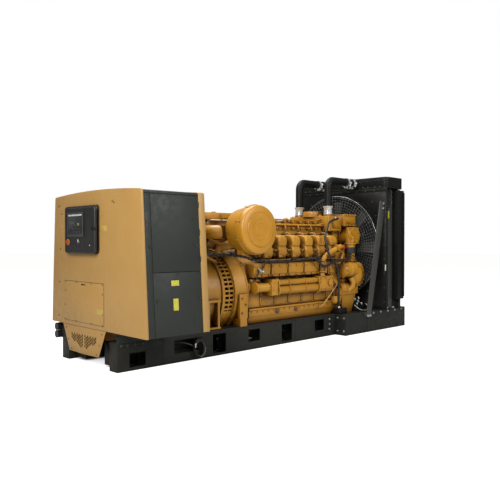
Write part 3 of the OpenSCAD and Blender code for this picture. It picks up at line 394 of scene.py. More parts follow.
stop_red = gloss_plastic("red_stop_button", "#A93524", "#922B1C")
amber = gloss_plastic("amber_lens", "#8F8742", "#7F7636", 0.3)
collar_yellow = gloss_plastic("yellow_collar", "#A8782C", "#956722", 0.4)
green = gloss_plastic("green_lens", "#35553C", "#2C4832", 0.3)
silver_bezel = gloss_plastic("silver_painted_bezel", "#B9BCBF", "#A4A7AA", 0.35)
lime_label = gloss_plastic("blank_lime_label", "#B7B243", "#ABA53A", 0.4)
faded_label = gloss_plastic("blank_faded_label", "#B09650", "#A88E49", 0.45)
white_tag = gloss_plastic("white_tag", "#D9D9D4", "#C8C8C2", 0.5)
grey_frame = gloss_plastic("grey_screen_frame", "#3A3B3C", "#303132", 0.4)
browned = gloss_plastic("browned_screw_heads", "#6B5330", "#574224", 0.5)
# Near-black with little gloss. It colours the cover's seal and grip, and paints the shade behind the vent
# slots, inside the skid and the cooling ring, and in the finger latch's cup.
near_black_seal_and_shade = gloss_plastic("near_black_seal_and_shade", "#0A0A0A", "#101010", 0.8, 0.1)

# %% [markdown]
# Hoses and looms are black rubber and split conduit. The conduit's corrugations are 4 mm
# apart in truth and 16 mm here, so that they still break up the highlight. Their grooves are
# painted darker and their ridges lighter, which is painted shade and highlight.

# %% Rubber and conduit
tree, shader, place = finish("black_hose_rubber", 0.55)
tint = add(tree, "MixRGB", Fac=blotches(tree, place, 12.0), Color1=linear("#151515"),
    Color2=linear("#232322"))
tree.links.new(tint.outputs[0], shader.inputs["Base Color"])
weave = add(tree, "TexNoise", Vector=place, Scale=90.0, Detail=2.0)
bump = add(tree, "Bump", Strength=0.3, Distance=0.001, Height=weave.outputs["Fac"])
tree.links.new(bump.outputs[0], shader.inputs["Normal"])
hose_rubber = finishes["black_hose_rubber"]

tree, shader, place = finish("split_conduit", 0.5)
rings = add(tree, "TexWave", {"bands_direction": "X"}, Vector=place, Scale=every(16), Distortion=1.0)
# Grooves darker and ridges lighter: painted shade and highlight.
tint = add(tree, "MixRGB", Fac=rings.outputs["Fac"], Color1=linear("#0E0E0E"), Color2=linear("#262626"))
tree.links.new(tint.outputs[0], shader.inputs["Base Color"])
bump = add(tree, "Bump", Strength=0.6, Distance=0.002, Height=rings.outputs["Fac"])
tree.links.new(bump.outputs[0], shader.inputs["Normal"])
conduit = finishes["split_conduit"]

grey_cable = gloss_plastic("light_grey_cable", "#A9ABAA", "#96989A", 0.45)
print("finishes:", len(finishes))

# %% [markdown]
# Now each solid gets its finish. Where a solid is replaced further down, the new piece
# takes the same one.

# %% Dress the solids
dress = [
    (hood_yellow, "hood_front_panel hood_rear_trim hood_vent_apron access_cover"),
    (door_coat, "hood_roof hood_side_panel_right hood_side_panel_left hood_supports"),
    (door_coat, "terminal_box_top terminal_box_sides"),
    (skid_enamel, "skid_rail_right skid_rail_left skid_cross_members outriggers"),
    (radiator_enamel, "fan_shroud radiator_frame top_tank coolant_pipes crank_pulley fan_drive"),
    (post_enamel, "radiator_columns radiator_braces fan"),
    (wire_lacquer, "fan_guard"),
    (hot_steel, "exhaust_outlet"),
    (zinc, "pipe_clamps"),
    (core_fins, "radiator_core"),
    (grained_abs, "control_case control_door"),
    (smoked_screen, "display_module"),
    (stop_red, "panel_switches"),
    (hose_rubber, "fan_belt breather_hose battery_leads"),
    (conduit, "wiring_harness"),
    (nylon, "cable_glands"),
]
coat_of = {name: engine_enamel for name in solids}
for coat, names in dress:
    coat_of.update({name: coat for name in names.split()})
for name, solid in solids.items():
    solid.data.materials.clear()
    solid.data.materials.append(coat_of[name])
print("dressed:", len(coat_of))

# %% [markdown]
# ## Modelling tools
#
# Each new piece starts as a primitive at its real size and place, is shaped by edit-mode
# operators and modifiers, and has its place applied, so that its object sits at the origin
# as the solids do. An operator acts on everything selected, so `pick` clears the selection
# first.

# %% Picking, settling and modifiers
def pick(*pieces):
    """Selects these pieces and nothing else; the first becomes the active one."""
    bpy.ops.object.select_all(action="DESELECT")
    for piece in pieces:
        piece.select_set(True)
    bpy.context.view_layer.objects.active = pieces[0]


def settled():
    """Applies the place of the primitive that was just added, and returns it."""
    made = bpy.context.object
    pick(made)
    bpy.ops.object.transform_apply(location=True, rotation=True, scale=True)
    return made


def use(piece, kind, **settings):
    """Adds one modifier and applies it."""
    pick(piece)
    modifier = piece.modifiers.new(kind.lower(), kind)
    for name, value in settings.items():
        setattr(modifier, name, value)
    bpy.ops.object.modifier_apply(modifier=modifier.name)


def joined(name, pieces):
    pick(*pieces)
    bpy.ops.object.join()
    bpy.context.object.name = name
    return bpy.context.object


# %% [markdown]
# Castings, brackets and plates are boxes whose edges are rounded, because no real edge is
# sharp: the rounding is what catches the light. Shafts, bosses and pins are round bars.
# Anything turned, such as a pulley or a flange, starts as a disc that is extruded and scaled
# ring by ring, which is how a lathe would be asked for the same outline.

# %% Boxes, bars and turned pieces
def block(corner, far_corner, soft=0.004, segments=2):
    """A box between two corners, its edges rounded by the width `soft`."""
    corner, far_corner = Vector(corner), Vector(far_corner)
    size = [abs(b - a) for a, b in zip(corner, far_corner)]
    bpy.ops.mesh.primitive_cube_add(size=1, location=(corner + far_corner) / 2, scale=size)
    made = settled()
    if soft:
        use(made, "BEVEL", width=min(soft, min(size) * 0.45), segments=segments)
    return made


def bar(start, end, radius, sides=20, soft=0.002):
    """A round bar between two points."""
    start, end = Vector(start), Vector(end)
    way = end - start
    bpy.ops.mesh.primitive_cylinder_add(vertices=sides, radius=radius, depth=way.length,
        location=(start + end) / 2, rotation=way.to_track_quat("Z", "Y").to_euler())
    made = settled()
    use(made, "BEVEL", width=soft, segments=2, limit_method="ANGLE", angle_limit=math.radians(40))
    return made


def turned(steps, start, axis, sides=32):
    """A turned piece. Each step is (distance along the axis, radius)."""
    start, axis = Vector(start), Vector(axis).normalized()
    bpy.ops.mesh.primitive_circle_add(vertices=sides, radius=steps[0][1], fill_type="NGON",
        location=start + axis * steps[0][0], rotation=axis.to_track_quat("Z", "Y").to_euler())
    made = settled()
    bpy.ops.object.mode_set(mode="EDIT")
    bpy.ops.mesh.select_all(action="SELECT")
    for (done, before), (along, radius) in zip(steps, steps[1:]):
        bpy.ops.mesh.extrude_region_move(TRANSFORM_OT_translate={"value": axis * (along - done)})
        bpy.ops.transform.resize(value=(radius / before,) * 3, center_override=start + axis * along)
    bpy.ops.mesh.select_all(action="SELECT")
    bpy.ops.mesh.normals_make_consistent(inside=False)
    bpy.ops.object.mode_set(mode="OBJECT")
    return made


def band(inside, outside, wide, start, axis, sides=32):
    """A flat band round a pipe, with its corners eased by a millimetre."""
    steps = [(0, inside), (0.001, outside), (wide - 0.001, outside), (wide, inside)]
    return turned(steps, start, axis, sides)


# %% [markdown]
# Pipes and cables are curves given a round section, then turned into meshes. An odd outline,
# such as a gusset, is a filled ring whose corners are set one by one and then extruded.

# %% Pipes and cut plates
def pipe(points, radius, sides=12, steps=8):
    """A round pipe or cable that runs smoothly through the points."""
    curve = bpy.data.curves.new("route", "CURVE")
    curve.dimensions = "3D"
    curve.bevel_depth = radius
    curve.bevel_resolution = sides // 4 - 1
    curve.resolution_u = steps
    curve.use_fill_caps = True
    route = curve.splines.new("BEZIER")
    route.bezier_points.add(len(points) - 1)
    for knot, point in zip(route.bezier_points, points):
        knot.co = point
        knot.handle_left_type = knot.handle_right_type = "AUTO"
    made = bpy.data.objects.new("pipe", curve)
    scene.collection.objects.link(made)
    pick(made)
    bpy.ops.object.convert(target="MESH")
    return bpy.context.object


def cut_plate(outline, way, soft=0.003):
    """A plate with this outline, given as points of one plane, thick along `way`."""
    bpy.ops.mesh.primitive_circle_add(vertices=len(outline), radius=1, fill_type="NGON")
    made = settled()
    for corner, point in zip(made.data.vertices, outline):
        corner.co = point
    bpy.ops.object.mode_set(mode="EDIT")
    bpy.ops.mesh.select_all(action="SELECT")
    bpy.ops.mesh.extrude_region_move(TRANSFORM_OT_translate={"value": Vector(way)})
    bpy.ops.mesh.select_all(action="SELECT")
    bpy.ops.mesh.normals_make_consistent(inside=False)
    bpy.ops.object.mode_set(mode="OBJECT")
    if soft:
        use(made, "BEVEL", width=soft, segments=2, limit_method="ANGLE", angle_limit=math.radians(30))
    return made


# %% [markdown]
# What repeats is modelled once, at the origin and standing up, and then copied to its places.
# `seat` gives such a place: a point, and the direction in which the copy stands. `fit` gives
# a finished piece its name, paint and body, and hides the solids that it stands for.

# %% Copies and the last step of every piece
def seat(point, direction=(0, 0, 1), turn=0.0):
    upright = Vector(direction).to_track_quat("Z", "Y").to_matrix().to_4x4()
    return Matrix.Translation(point) @ upright @ Matrix.Rotation(turn, 4, "Z")


def stamped(master, places):
    """Copies of a master piece, one at each place, joined; the master itself goes."""
    copies = []
    for place in places:
        mesh = master.data.copy()
        mesh.transform(place)
        if place.determinant() < 0:
            mesh.flip_normals()
        copy = bpy.data.objects.new("copy", mesh)
        scene.collection.objects.link(copy)
        copies.append(copy)
    bpy.data.objects.remove(master)
    return joined("copies", copies)


def fit(name, piece, coat=engine_enamel, body="root", stands_for=()):
    """The last step of a piece; a list of pieces becomes one."""
    if isinstance(piece, list):
        piece = joined(name, piece)
    piece.name = name
    pick(piece)
    bpy.ops.object.shade_smooth_by_angle(angle=math.radians(38))
    piece.data.materials.clear()
    piece.data.materials.append(coat)
    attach(piece, body)
    if stands_for:
        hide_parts(*stands_for)
    print(name, len(piece.data.polygons), "faces")
    return piece


def bolt(size):
    """A hexagon head on its washer, standing on the origin; size is across the head's corners."""
    washer = turned([(0, 0.62 * size), (0.1 * size, 0.62 * size)], (0, 0, 0), (0, 0, 1), 12)
    head = turned([(0.1 * size, 0.5 * size), (0.42 * size, 0.5 * size), (0.52 * size, 0.4 * size)],
        (0, 0, 0), (0, 0, 1), 6)
    return joined("bolt", [washer, head])


def bolts(name, size, places, coat=engine_enamel):
    """Bolts of one size, one at each place."""
    return fit(name, stamped(bolt(size), places), coat)


def facing(points, direction=(0, 0, 1), turn=0.0):
    """A place at each point, all facing one way, each turned a little further than the last."""
    return [seat(point, direction, turn * i) for i, point in enumerate(points)]


def outward(points):
    """A place at each point, facing away from the middle of the machine."""
    return [seat(point, (0, 1 if point.y > 0 else -1, 0)) for point in points]


def angles(count, shift=0.0):
    """Equal steps of a full turn."""
    return [math.tau * (k + shift) / count for k in range(count)]


# %% [markdown]
# ## Softer edges for the main forms
#
# The solids have knife edges. Cast housings are rounded by 6 to 20 mm and folded sheet by
# 2 to 6 mm. Each such solid is copied, its loose triangles are merged and flattened back
# into faces, and its edges are rounded; the copy then stands for the solid.

# %% Rounded copies of solids
def softened(node, width, segments):
    mesh = solids[node].data.copy()
    copy = bpy.data.objects.new(node + "_finished", mesh)
    scene.collection.objects.link(copy)
    pick(copy)
    bpy.ops.object.mode_set(mode="EDIT")
    bpy.ops.mesh.select_all(action="SELECT")
    bpy.ops.mesh.remove_doubles(threshold=0.00005)
    bpy.ops.mesh.dissolve_limited(angle_limit=math.radians(0.5))
    bpy.ops.object.mode_set(mode="OBJECT")
    use(copy, "BEVEL", width=width, segments=segments, limit_method="ANGLE", angle_limit=math.radians(30))
    return copy


rounding = [
    (0.004, "hood_front_panel hood_rear_trim hood_roof hood_side_panel_right hood_side_panel_left"),
    (0.003, "skid_rail_right skid_rail_left outriggers radiator_columns radiator_braces fan_shroud"),
    (0.008, "top_tank radiator_frame engine_supports generator_feet air_cleaner_frame camshaft_covers"),
    (0.01, "oil_pan aftercooler flywheel_housing generator_frame oil_cooler_tubes"),
    (0.016, "engine_block front_gear_case regulator_housing"),
]
for width, names in rounding:
    for name in names.split():
        fit(name + "_finished", softened(name, width, 3 if width > 0.009 else 2), coat_of[name],
            stands_for=[name])

# %% [markdown]
# ## The terminal hood
#
# The hood is folded sheet steel over the generator's end. Its front carries button-headed
# screws near the far edge, an access cover held by twelve screws, and two label plates,
# which stay blank. A dark line round the cover is its rubber seal, so a slightly larger
# sheet goes behind it.

# %% Access cover, its seal and screws
front_x = low("hood_front_panel").x - skid_end
cover_low, cover_high = low("access_cover"), high("access_cover")
cover_x = cover_low.x - skid_end
seal_rim = 0.004
seal = block(cover_low + Vector((0.0022, -seal_rim, -seal_rim)),
    cover_high + Vector((-0.0004, seal_rim, seal_rim)), 0.0005)
fit("access_cover_seal", seal, near_black_seal_and_shade)
cover_y = cover_high.y - 0.02
cover_places = [(y, cover_high.z - 0.008) for y in (0.396, 0.141, -0.171)]
cover_places += [(y, cover_low.z + 0.006) for y in (0.436 - 0.03, 0.158, -0.167)]
cover_places += [(-cover_y, z) for z in (0.885, 0.785, 0.576, 0.466)] + [(cover_y, z)
    for z in (0.786, 0.628)]
cover_panel = block(cover_low, cover_high - Vector((0.0008, 0, 0)), 0.001)
grip = block(at(cover_x - 0.001, -0.045, 0.86), at(cover_x + 0.002, 0.045, 0.872), 0.001)
fit("access_cover_panel", cover_panel, hood_yellow, stands_for=["access_cover"])
fit("access_cover_grip", grip, near_black_seal_and_shade)


def screw(size):
    """A low button head, standing on the origin."""
    head = turned([(0, 0.5 * size), (0.12 * size, 0.5 * size), (0.28 * size, 0.36 * size),
        (0.32 * size, 0.18 * size)], (0, 0, 0), (0, 0, 1), 14)
    return head


def screws(name, size, points):
    """Browned screws in the hood's front."""
    return fit(name, stamped(screw(size), facing(points, (-1, 0, 0))), browned)


screws("access_cover_screws", 0.017, [at(cover_x, y, z) for y, z in cover_places])

# %% [markdown]
# Larger screws hold the front to its frame: four down the far edge and two
# pairs below the roof.

# %% Front screws and label plates
edge_screws = [(0.478, 1.639), (0.514, 1.244), (0.542, 0.872), (0.563, 0.491), (0.562, 1.721),
    (-0.594, 1.735)]
edge_screws += [(-0.594 - 0.03, 1.719), (0.562 - 0.026, 1.732)]
screws("hood_front_screws", 0.02, [at(front_x, y, z) for y, z in edge_screws])
labels = [
    ("front_label_upper", at(front_x - 0.001, -0.485, 1.435), at(front_x, -0.368, 1.491), faded_label),
    ("front_label_lower", at(cover_x - 0.001, -0.426 + 0.02, 0.57), at(cover_x, -0.266, 0.628),
        faded_label),
]
for name, corner, far_corner, coat in labels:
    fit(name, block(corner, far_corner, 0.0004), coat)

# %% [markdown]
# The hood's sides lean in towards the roof, so what sits on a side takes its distance from
# the middle by height. Each side is a tall door over a lower panel, with a narrow channel
# in front of both. The doors close with flush latches, which read as dark ovals in a
# raised rim, and hang on pairs of hinges at the rear.

# %% Places on the hood's sides
hood_middle = (low("hood_roof").y + high("hood_roof").y) / 2
hood_foot = low("hood_side_panel_right").z
foot_half = (high("hood_side_panel_left").y - low("hood_side_panel_right").y) / 2
lean = (0.96 - 0.87) / 1.417
side_tilt = math.atan(lean)


def on_side(side, x, z, out=0.0):
    """A point on a side panel's face, moved outwards by `out`."""
    return at(x, hood_middle + side * (foot_half - (z - hood_foot) * lean + out), z)


def side_out(side):
    return (0, side * math.cos(side_tilt), math.sin(side_tilt))


latch_cup = turned([(0, 0.015), (0.004, 0.015), (0.006, 0.012), (0.004, 0.009), (0.002, 0.008)],
    (0, 0, 0), (0, 0, 1), 16)
latch_places = [(0.023, 1.277), (0.569, 1.301), (0.569, 1.56), (0.085, 0.76), (0.6, 0.76)]
spots = [seat(on_side(side, x, z), side_out(side)) for side in SIDES for x, z in latch_places]
fit("side_door_latches", stamped(latch_cup, spots), nylon)

# %% Side screws, hinge knuckles and labels
side_screws = [(x, z) for x in (0.022,) for z in (0.5, 0.78, 1.06, 1.277, 1.5, 1.78)]
side_screws += [(x, z) for x in (0.07, 0.34, 0.615) for z in (0.44, 1.01)]
side_screws += [(x, z) for x in (0.07, 0.34, 0.615) for z in (1.056, 1.8)]
master = screw(0.016)
spots = [seat(on_side(side, x, z), side_out(side)) for side in SIDES for x, z in side_screws]
fit("side_panel_screws", stamped(master, spots), door_coat)
knuckle = bar((0, 0, -0.03), (0, 0, 0.03), 0.008, 12)
spots = [Matrix.Translation(on_side(side, 0.628, z, 0.001)) for side in SIDES for z in (1.15, 1.42, 1.7)]
fit("side_door_hinges", stamped(knuckle, spots), door_coat)
plate = block((-0.5, -0.5, 0), (0.5, 0.5, 0.0015), 0.0004)
spots = []
for x, z, width, height in ((0.302, 0.924, 0.093, 0.052), (0.303, 0.716, 0.06, 0.116)):
    for side in SIDES:
        spots.append(seat(on_side(side, x, z), side_out(side)) @ Matrix.Diagonal((width, height, 1, 1)))
fit("side_label_plates", stamped(plate, spots), lime_label)

# %% [markdown]
# Below the front hangs the vent apron. The real one has a mesh and a duct behind its slots,
# which lie in shade and look black; a near-black sheet 10 mm behind the apron paints that shade.

# %% Behind the vent apron
apron_low, apron_high = low("hood_vent_apron"), high("hood_vent_apron")
outline = [(-0.46, apron_high.z), (0.46, apron_high.z), (0.315, 0.128), (0, apron_low.z), (-0.315, 0.128)]
apron = cut_plate([Vector((apron_low.x, y, z)) for y, z in outline], (0.003, 0, 0), 0.001)
slots = []
across, down, half_wide, half_tall, through = 0.028, 0.034, 0.011, 0.0145, 0.01
for side in SIDES:
    for i in range(9):
        for j in range(4):
            y, z = 0.03 + across * i, 0.316 - down * (j + (i % 2) / 2)
            if z > 0.155 + 0.45 * y:
                slots.append(block((apron_low.x - through, side * y - half_wide, z - half_tall),
                    (apron_high.x + through, side * y + half_wide, z + half_tall), 0.006, 3))
slot_cutter = joined("slot_cutter", slots)
use(apron, "BOOLEAN", object=slot_cutter, operation="DIFFERENCE")
bpy.data.objects.remove(slot_cutter)
fit("vent_apron_slotted", apron, hood_yellow, stands_for=["hood_vent_apron"])
# A dark strip along the apron's top edge paints the shadow line under the hood's front.
apron_joint_shadow = block((apron_low.x - 0.0006, -0.455, apron_high.z - 0.004),
    (apron_low.x + 0.001, 0.455, apron_high.z), 0)
fit("vent_apron_shadow_line", apron_joint_shadow, browned)
# A near-black sheet behind the slots paints the shade inside the hood.
backing = block((apron_high.x + 0.01, -0.34, apron_low.z + 0.03),
    (apron_high.x + 0.014, 0.34, apron_high.z - 0.03), 0.001)
fit("vent_slot_shade_sheet", backing, near_black_seal_and_shade)
screws("vent_apron_screws", 0.018, [Vector((apron_low.x, side * y, z)) for side in SIDES
    for y, z in ((0.385, 0.375), (0.33, 0.25), (0.27, 0.15))])

# %% [markdown]
# ## The control panel
#
# The panel is a moulded case with a door. The door is a tablet with wide bevels, its face
# sunk a few millimetres inside a lighter rim. A screen module with a silver strip, a stop
# button, a key switch and one lamp sit on it; the swinging door carries them all, so they
# ride on the body `control_door`.

# %% Case and door shell
def on_door(name, piece, coat, stands_for=()):
    """Fits a piece that swings with the door."""
    return fit(name, piece, coat, "control_door", stands_for)


case_low, case_high = low("control_case"), high("control_case")
door_low, door_high = low("control_door"), high("control_door")
panel_y0, panel_y1, panel_z0, panel_z1 = -0.342, 0.3, 1.2, 1.69
door = block(at(door_low.x - skid_end, panel_y0, panel_z0),
    at(door_high.x - skid_end, panel_y1 - 0.004, panel_z1), 0)
door_corner, door_slope = 0.036, 0.016


def select_where(piece, kind, wanted):
    """Selects a piece's "edges" or "polygons" that pass the test, and goes into edit mode."""
    bpy.context.tool_settings.mesh_select_mode = (False, kind == "edges", kind == "polygons")
    pick(piece)
    bpy.ops.object.mode_set(mode="EDIT")
    bpy.ops.mesh.select_all(action="DESELECT")
    bpy.ops.object.mode_set(mode="OBJECT")
    for item in getattr(piece.data, kind):
        item.select = wanted(item)
    bpy.ops.object.mode_set(mode="EDIT")


def select_edges(piece, wanted):
    corners = piece.data.vertices
    select_where(piece, "edges", lambda edge: wanted(*(corners[i].co for i in edge.vertices)))


def select_faces(piece, wanted):
    select_where(piece, "polygons", wanted)


case = block(case_low, case_high + Vector((0, 0.018, 0.018)), 0)
case_slope, thin, at_front = 0.012, 0.01, 0.0001
for piece in (case, door):
    select_edges(piece, lambda a, b: abs(a.x - b.x) > thin)
    bpy.ops.mesh.bevel(offset=door_corner, segments=6, affect="EDGES")
    bpy.ops.object.mode_set(mode="OBJECT")
select_edges(case, lambda a, b: max(a.x, b.x) < case_low.x + at_front)
bpy.ops.mesh.bevel(offset=case_slope, segments=3, affect="EDGES")
bpy.ops.object.mode_set(mode="OBJECT")
fit("control_case_moulding", case, grained_abs, stands_for=["control_case"])
door_front = min(v.co.x for v in door.data.vertices)
select_edges(door, lambda a, b: max(a.x, b.x) < door_front + at_front)
bpy.ops.mesh.bevel(offset=door_slope, segments=3, affect="EDGES")
bpy.ops.object.mode_set(mode="OBJECT")
select_faces(door, lambda face: face.normal.x < -0.99 and face.area > 0.1)
bpy.ops.mesh.inset(thickness=0.006)
bpy.ops.mesh.extrude_region_move(TRANSFORM_OT_translate={"value": (0.004, 0, 0)})
bpy.ops.mesh.inset(thickness=0.004)
bpy.ops.object.mode_set(mode="OBJECT")
on_door("control_door_moulding", door, grained_abs, ["control_door"])

# %% [markdown]
# The screen module is a shallow tray: a grey frame, a dark glass, a silver strip along its
# top and a few keys below the readings. The readings are plain green and amber bars. The
# door also carries a recessed finger latch near its free edge, a stop button on a collar,
# a key switch with its key upright, and one small lamp.

# %% Screen module
glass_low, glass_high = low("display_module"), high("display_module")
face_x = glass_low.x


def on_screen(y0, z0, y1, z1, out, depth, soft=0.001):
    """A small block on the screen's face, `out` metres proud of it."""
    return block((face_x - out, y0, z0), (face_x - out + depth, y1, z1), soft)


tray = block(glass_low + Vector((0.0012, 0, 0)), glass_high, 0.003)
select_faces(tray, lambda face: face.normal.x < -0.99 and face.area > 0.05)
bpy.ops.mesh.inset(thickness=0.022)
bpy.ops.mesh.extrude_region_move(TRANSFORM_OT_translate={"value": (0.003, 0, 0)})
bpy.ops.object.mode_set(mode="OBJECT")
on_door("screen_module_tray", tray, grey_frame, ["display_module"])
glass = block((face_x + 0.0022, -0.09, 1.402), (face_x + 0.0045, 0.205, 1.612), 0.0008)
on_door("screen_glass", glass, smoked_screen)
strip = on_screen(-0.088, 1.6, 0.203, 1.617, 0.001, 0.003)
on_door("screen_silver_strip", strip, silver_bezel)
readings = [on_screen(y, z, y + 0.05, z + 0.01, -0.001, 0.002, 0.0004) for z in (1.56, 1.535, 1.51)
    for y in (0.115, 0.045)]
on_door("screen_readings", readings, grey_frame)
on_door("screen_green_bar", on_screen(0.08, 1.52, 0.165, 1.538, -0.0005, 0.002, 0.0004), green)
on_door("screen_amber_lamp", on_screen(-0.03, 1.5, 0.005, 1.522, -0.0005, 0.002, 0.0004), amber)
keys = [on_screen(y, z, y + 0.02, z + 0.014, -0.0005, 0.002, 0.002) for z in (1.455, 1.425)
    for y in (-0.06, -0.02, 0.02, 0.06, 0.1)]
on_door("screen_keys", keys, grey_frame)

# %% Switches, lamp and finger latch
sunk = 0.004
panel_face = door_front + sunk
switch_z = (low("panel_switches").z + high("panel_switches").z) / 2
stop_spot = Vector((panel_face, 0.231, switch_z))
key_spot = Vector((panel_face, -0.008, switch_z))
button_out = panel_face - low("panel_switches").x
collar = turned([(0, 0.034), (0.003, 0.034), (0.005, 0.03), (0.005, 0.02)], stop_spot, (-1, 0, 0), 28)
on_door("stop_button_collar", collar, collar_yellow)
button = turned([(0.004, 0.013), (button_out * 0.5, 0.013), (button_out * 0.55, 0.024),
    (button_out * 0.8, 0.026), (button_out * 0.95, 0.02), (button_out * 0.98, 0.008)], stop_spot,
    (-1, 0, 0), 28)
on_door("stop_button", button, stop_red, ["panel_switches"])
barrel = turned([(0, 0.024), (0.004, 0.024), (0.007, 0.02), (0.009, 0.018), (0.009, 0.01)], key_spot,
    (-1, 0, 0), 24)
on_door("key_switch_barrel", barrel, grey_frame)
key = block(key_spot + Vector((-0.014, -0.007, -0.002)), key_spot + Vector((-0.008, 0.007, 0.03)), 0.004,
    3)
on_door("key_in_switch", key, silver_bezel)
ring_tab = block(key_spot + Vector((-0.01, -0.004, -0.046)), key_spot + Vector((-0.007, 0.004, -0.012)),
    0.001)
on_door("key_tag", ring_tab, grey_frame)
lamp_lens = turned([(0, 0.007), (0.003, 0.007), (0.005, 0.004), (0.006, 0.002)],
    (panel_face, -0.236, 1.288), (-1, 0, 0), 16)
on_door("panel_lamp", lamp_lens, grey_cable)
cup = turned([(0, 0.04), (0.002, 0.04), (0.003, 0.036), (0.001, 0.031), (0.0004, 0.01)], (0, 0, 0),
    (0, 0, 1), 28)
oval = Matrix.Diagonal((0.55, 1, 1, 1))
latch = stamped(cup,
    [seat((panel_face, -0.31, 1.461), (-1, 0, 0)) @ Matrix.Rotation(math.pi / 2, 4, "Z") @ oval])
# The latch's cup is near-black, the shade in its recess painted.
on_door("finger_latch", latch, near_black_seal_and_shade)
fold = block((panel_face - 0.0015, -0.3, 1.24), (panel_face + 0.001, -0.284, 1.66), 0.001)
on_door("door_face_rib", fold, grained_abs)
print("door face at", round(door_front - skid_end, 4))

# %% [markdown]
# ## The skid
#
# The rails are welded from plate. Rows of bolts show near the top of the web at the
# generator end, and three in a column where the outrigger begins. The outrigger has a
# welded seam strip on its side and small bolts along its top edge.

# %% Skid bolts and seams
rail_face = high("skid_rail_left").y
outrigger_face = high("outriggers").y
outrigger_start = low("outriggers").x - skid_end
places, dark_places = [], []
for side in SIDES:
    out = (0, side, 0)
    dark_places += [seat(at(x, side * rail_face, 0.268), out) for x in (0.045, 0.115, 0.205, 0.3)]
    places += [seat(at(3.42, side * rail_face, z), out) for z in (0.235, 0.165, 0.095)]
    places += [seat(at(4.04 + 0.19 * i, side * outrigger_face, 0.272), out) for i in range(6)]
    places += [seat(at(outrigger_start, side * y, z), (-1, 0, 0)) for y in (0.625, 0.735)
        for z in (0.06, 0.245)]
bolts("skid_bolts", 0.026, places, zinc)
bolts("skid_rail_bolts", 0.026, dark_places, post_enamel)
seams = [block(at(4.083, side * outrigger_face, 0.006),
    at(4.107, side * (outrigger_face + 0.004), skid_top - 0.006), 0.002) for side in SIDES]
seams += [block(at(x, side * (rail_face - 0.002), 0.004),
    at(x + 0.01, side * (rail_face + 0.003), skid_top - 0.004), 0.0015) for side in SIDES
    for x in (0.56, 2.7, 3.49)]
fit("skid_weld_strips", seams, skid_enamel)

# %% [markdown]
# Inside, the windows and pockets look onto the skid's other plates and the fuel and cable
# trays between the rails. Two long near-black trays stand for them and paint the shade in
# there, so that daylight does not show straight through the skid; the fork pockets' walls are
# near-black for the same painted shade. A battery box fills the space behind the first window,
# and a thin side plate stands behind the second.

# %% Trays between the rails
# The trays are near-black, painted shade inside the skid.
trays = [block(at(0.7, y - 0.012, 0.12), at(4.28, y + 0.012, 0.29), 0.004) for y in (-0.2, 0.2)]
trays += [block(at(0.7, -0.2, 0.282), at(4.28, 0.2, 0.29), 0.002)]
fit("cable_trays", trays, near_black_seal_and_shade)
boxes = [block(at(start, side * inside, 0.02), at(end, side * 0.395, 0.268), 0.005) for side in SIDES
    for start, end, inside in ((0.08, 0.62, 0.2), (0.68, 1.25, 0.383))]
fit("battery_boxes", boxes, skid_enamel)
# The pocket walls are near-black, painted shade inside the fork pockets.
pocket_walls = []
for x in (1.266, 2.436):
    for lower, upper in ((0.026, 0.029), (0.253, 0.256)):
        pocket_walls.append(block(at(x - 0.003, -0.42, lower), at(x + 0.203, 0.42, upper), 0.001))
    for edge in (x - 0.004, x + 0.201):
        pocket_walls.append(block(at(edge, -0.42, 0.026), at(edge + 0.003, 0.42, 0.256), 0.001))
fit("fork_tunnels", pocket_walls, near_black_seal_and_shade)

# %% [markdown]
# The battery leads hang coiled on the right rail, with a white tag and one light cable.
# Five turns of 14 mm cable, each a little off the last, make the coil.

# %% Battery leads
coil_low, coil_high = low("battery_leads"), high("battery_leads")
coil_middle = (coil_low + coil_high) / 2
turns = []
for turn in range(5):
    reach = 0.062 + 0.009 * (turn % 3)
    depth = coil_low.y + 0.01 + 0.011 * turn
    ring = [Vector((coil_middle.x + reach * math.cos(a) + 0.006 * turn, depth + 0.006 * math.sin(2 * a),
        coil_middle.z + (reach + 0.022) * math.sin(a))) for a in [math.tau * k / 14 for k in range(15)]]
    turns.append(pipe(ring, 0.007, 8, 3))
tail = [coil_middle + Vector(p) for p in ((-0.06, 0.02, 0.03), (-0.12, 0.05, 0.06), (-0.2, 0.1, 0.075),
    (-0.3, 0.13, 0.07))]
turns.append(pipe(tail, 0.009, 8, 4))
fit("battery_lead_coil", turns, hose_rubber, stands_for=["battery_leads"])
tag = block(coil_middle + Vector((-0.072, -0.033, 0.02)), coil_middle + Vector((-0.052, -0.03, 0.064)),
    0.001)
fit("battery_lead_tag", tag, white_tag)
route = [coil_middle + Vector(p) for p in ((0.086, -0.026, 0.01), (0.078, -0.03, -0.04),
    (0.04, -0.028, -0.088), (0.015, -0.024, -0.1))]
fit("battery_lead_sense_wire", pipe(route, 0.0025, 8, 6), grey_cable)

# %% [markdown]
# ## Generator and flywheel housing
#
# Next to the flywheel housing the generator breathes out through a ring of long openings
# between bars. The solid only hints at them, so the ring is made again: a near-black drum
# inside, which paints the shade seen through the openings, sixty bars round it, and a hoop at
# each end and in the middle. Low down the bars are wide enough to close the ring.

# %% Cooling ring
ring_low, ring_high = low("generator_vent_ring"), high("generator_vent_ring")
ring_x, ring_l = ring_low.x, ring_high.x - ring_low.x
ring_r = (ring_high.z - ring_low.z) / 2
axis_point = Vector((ring_x, 0, shaft_z))
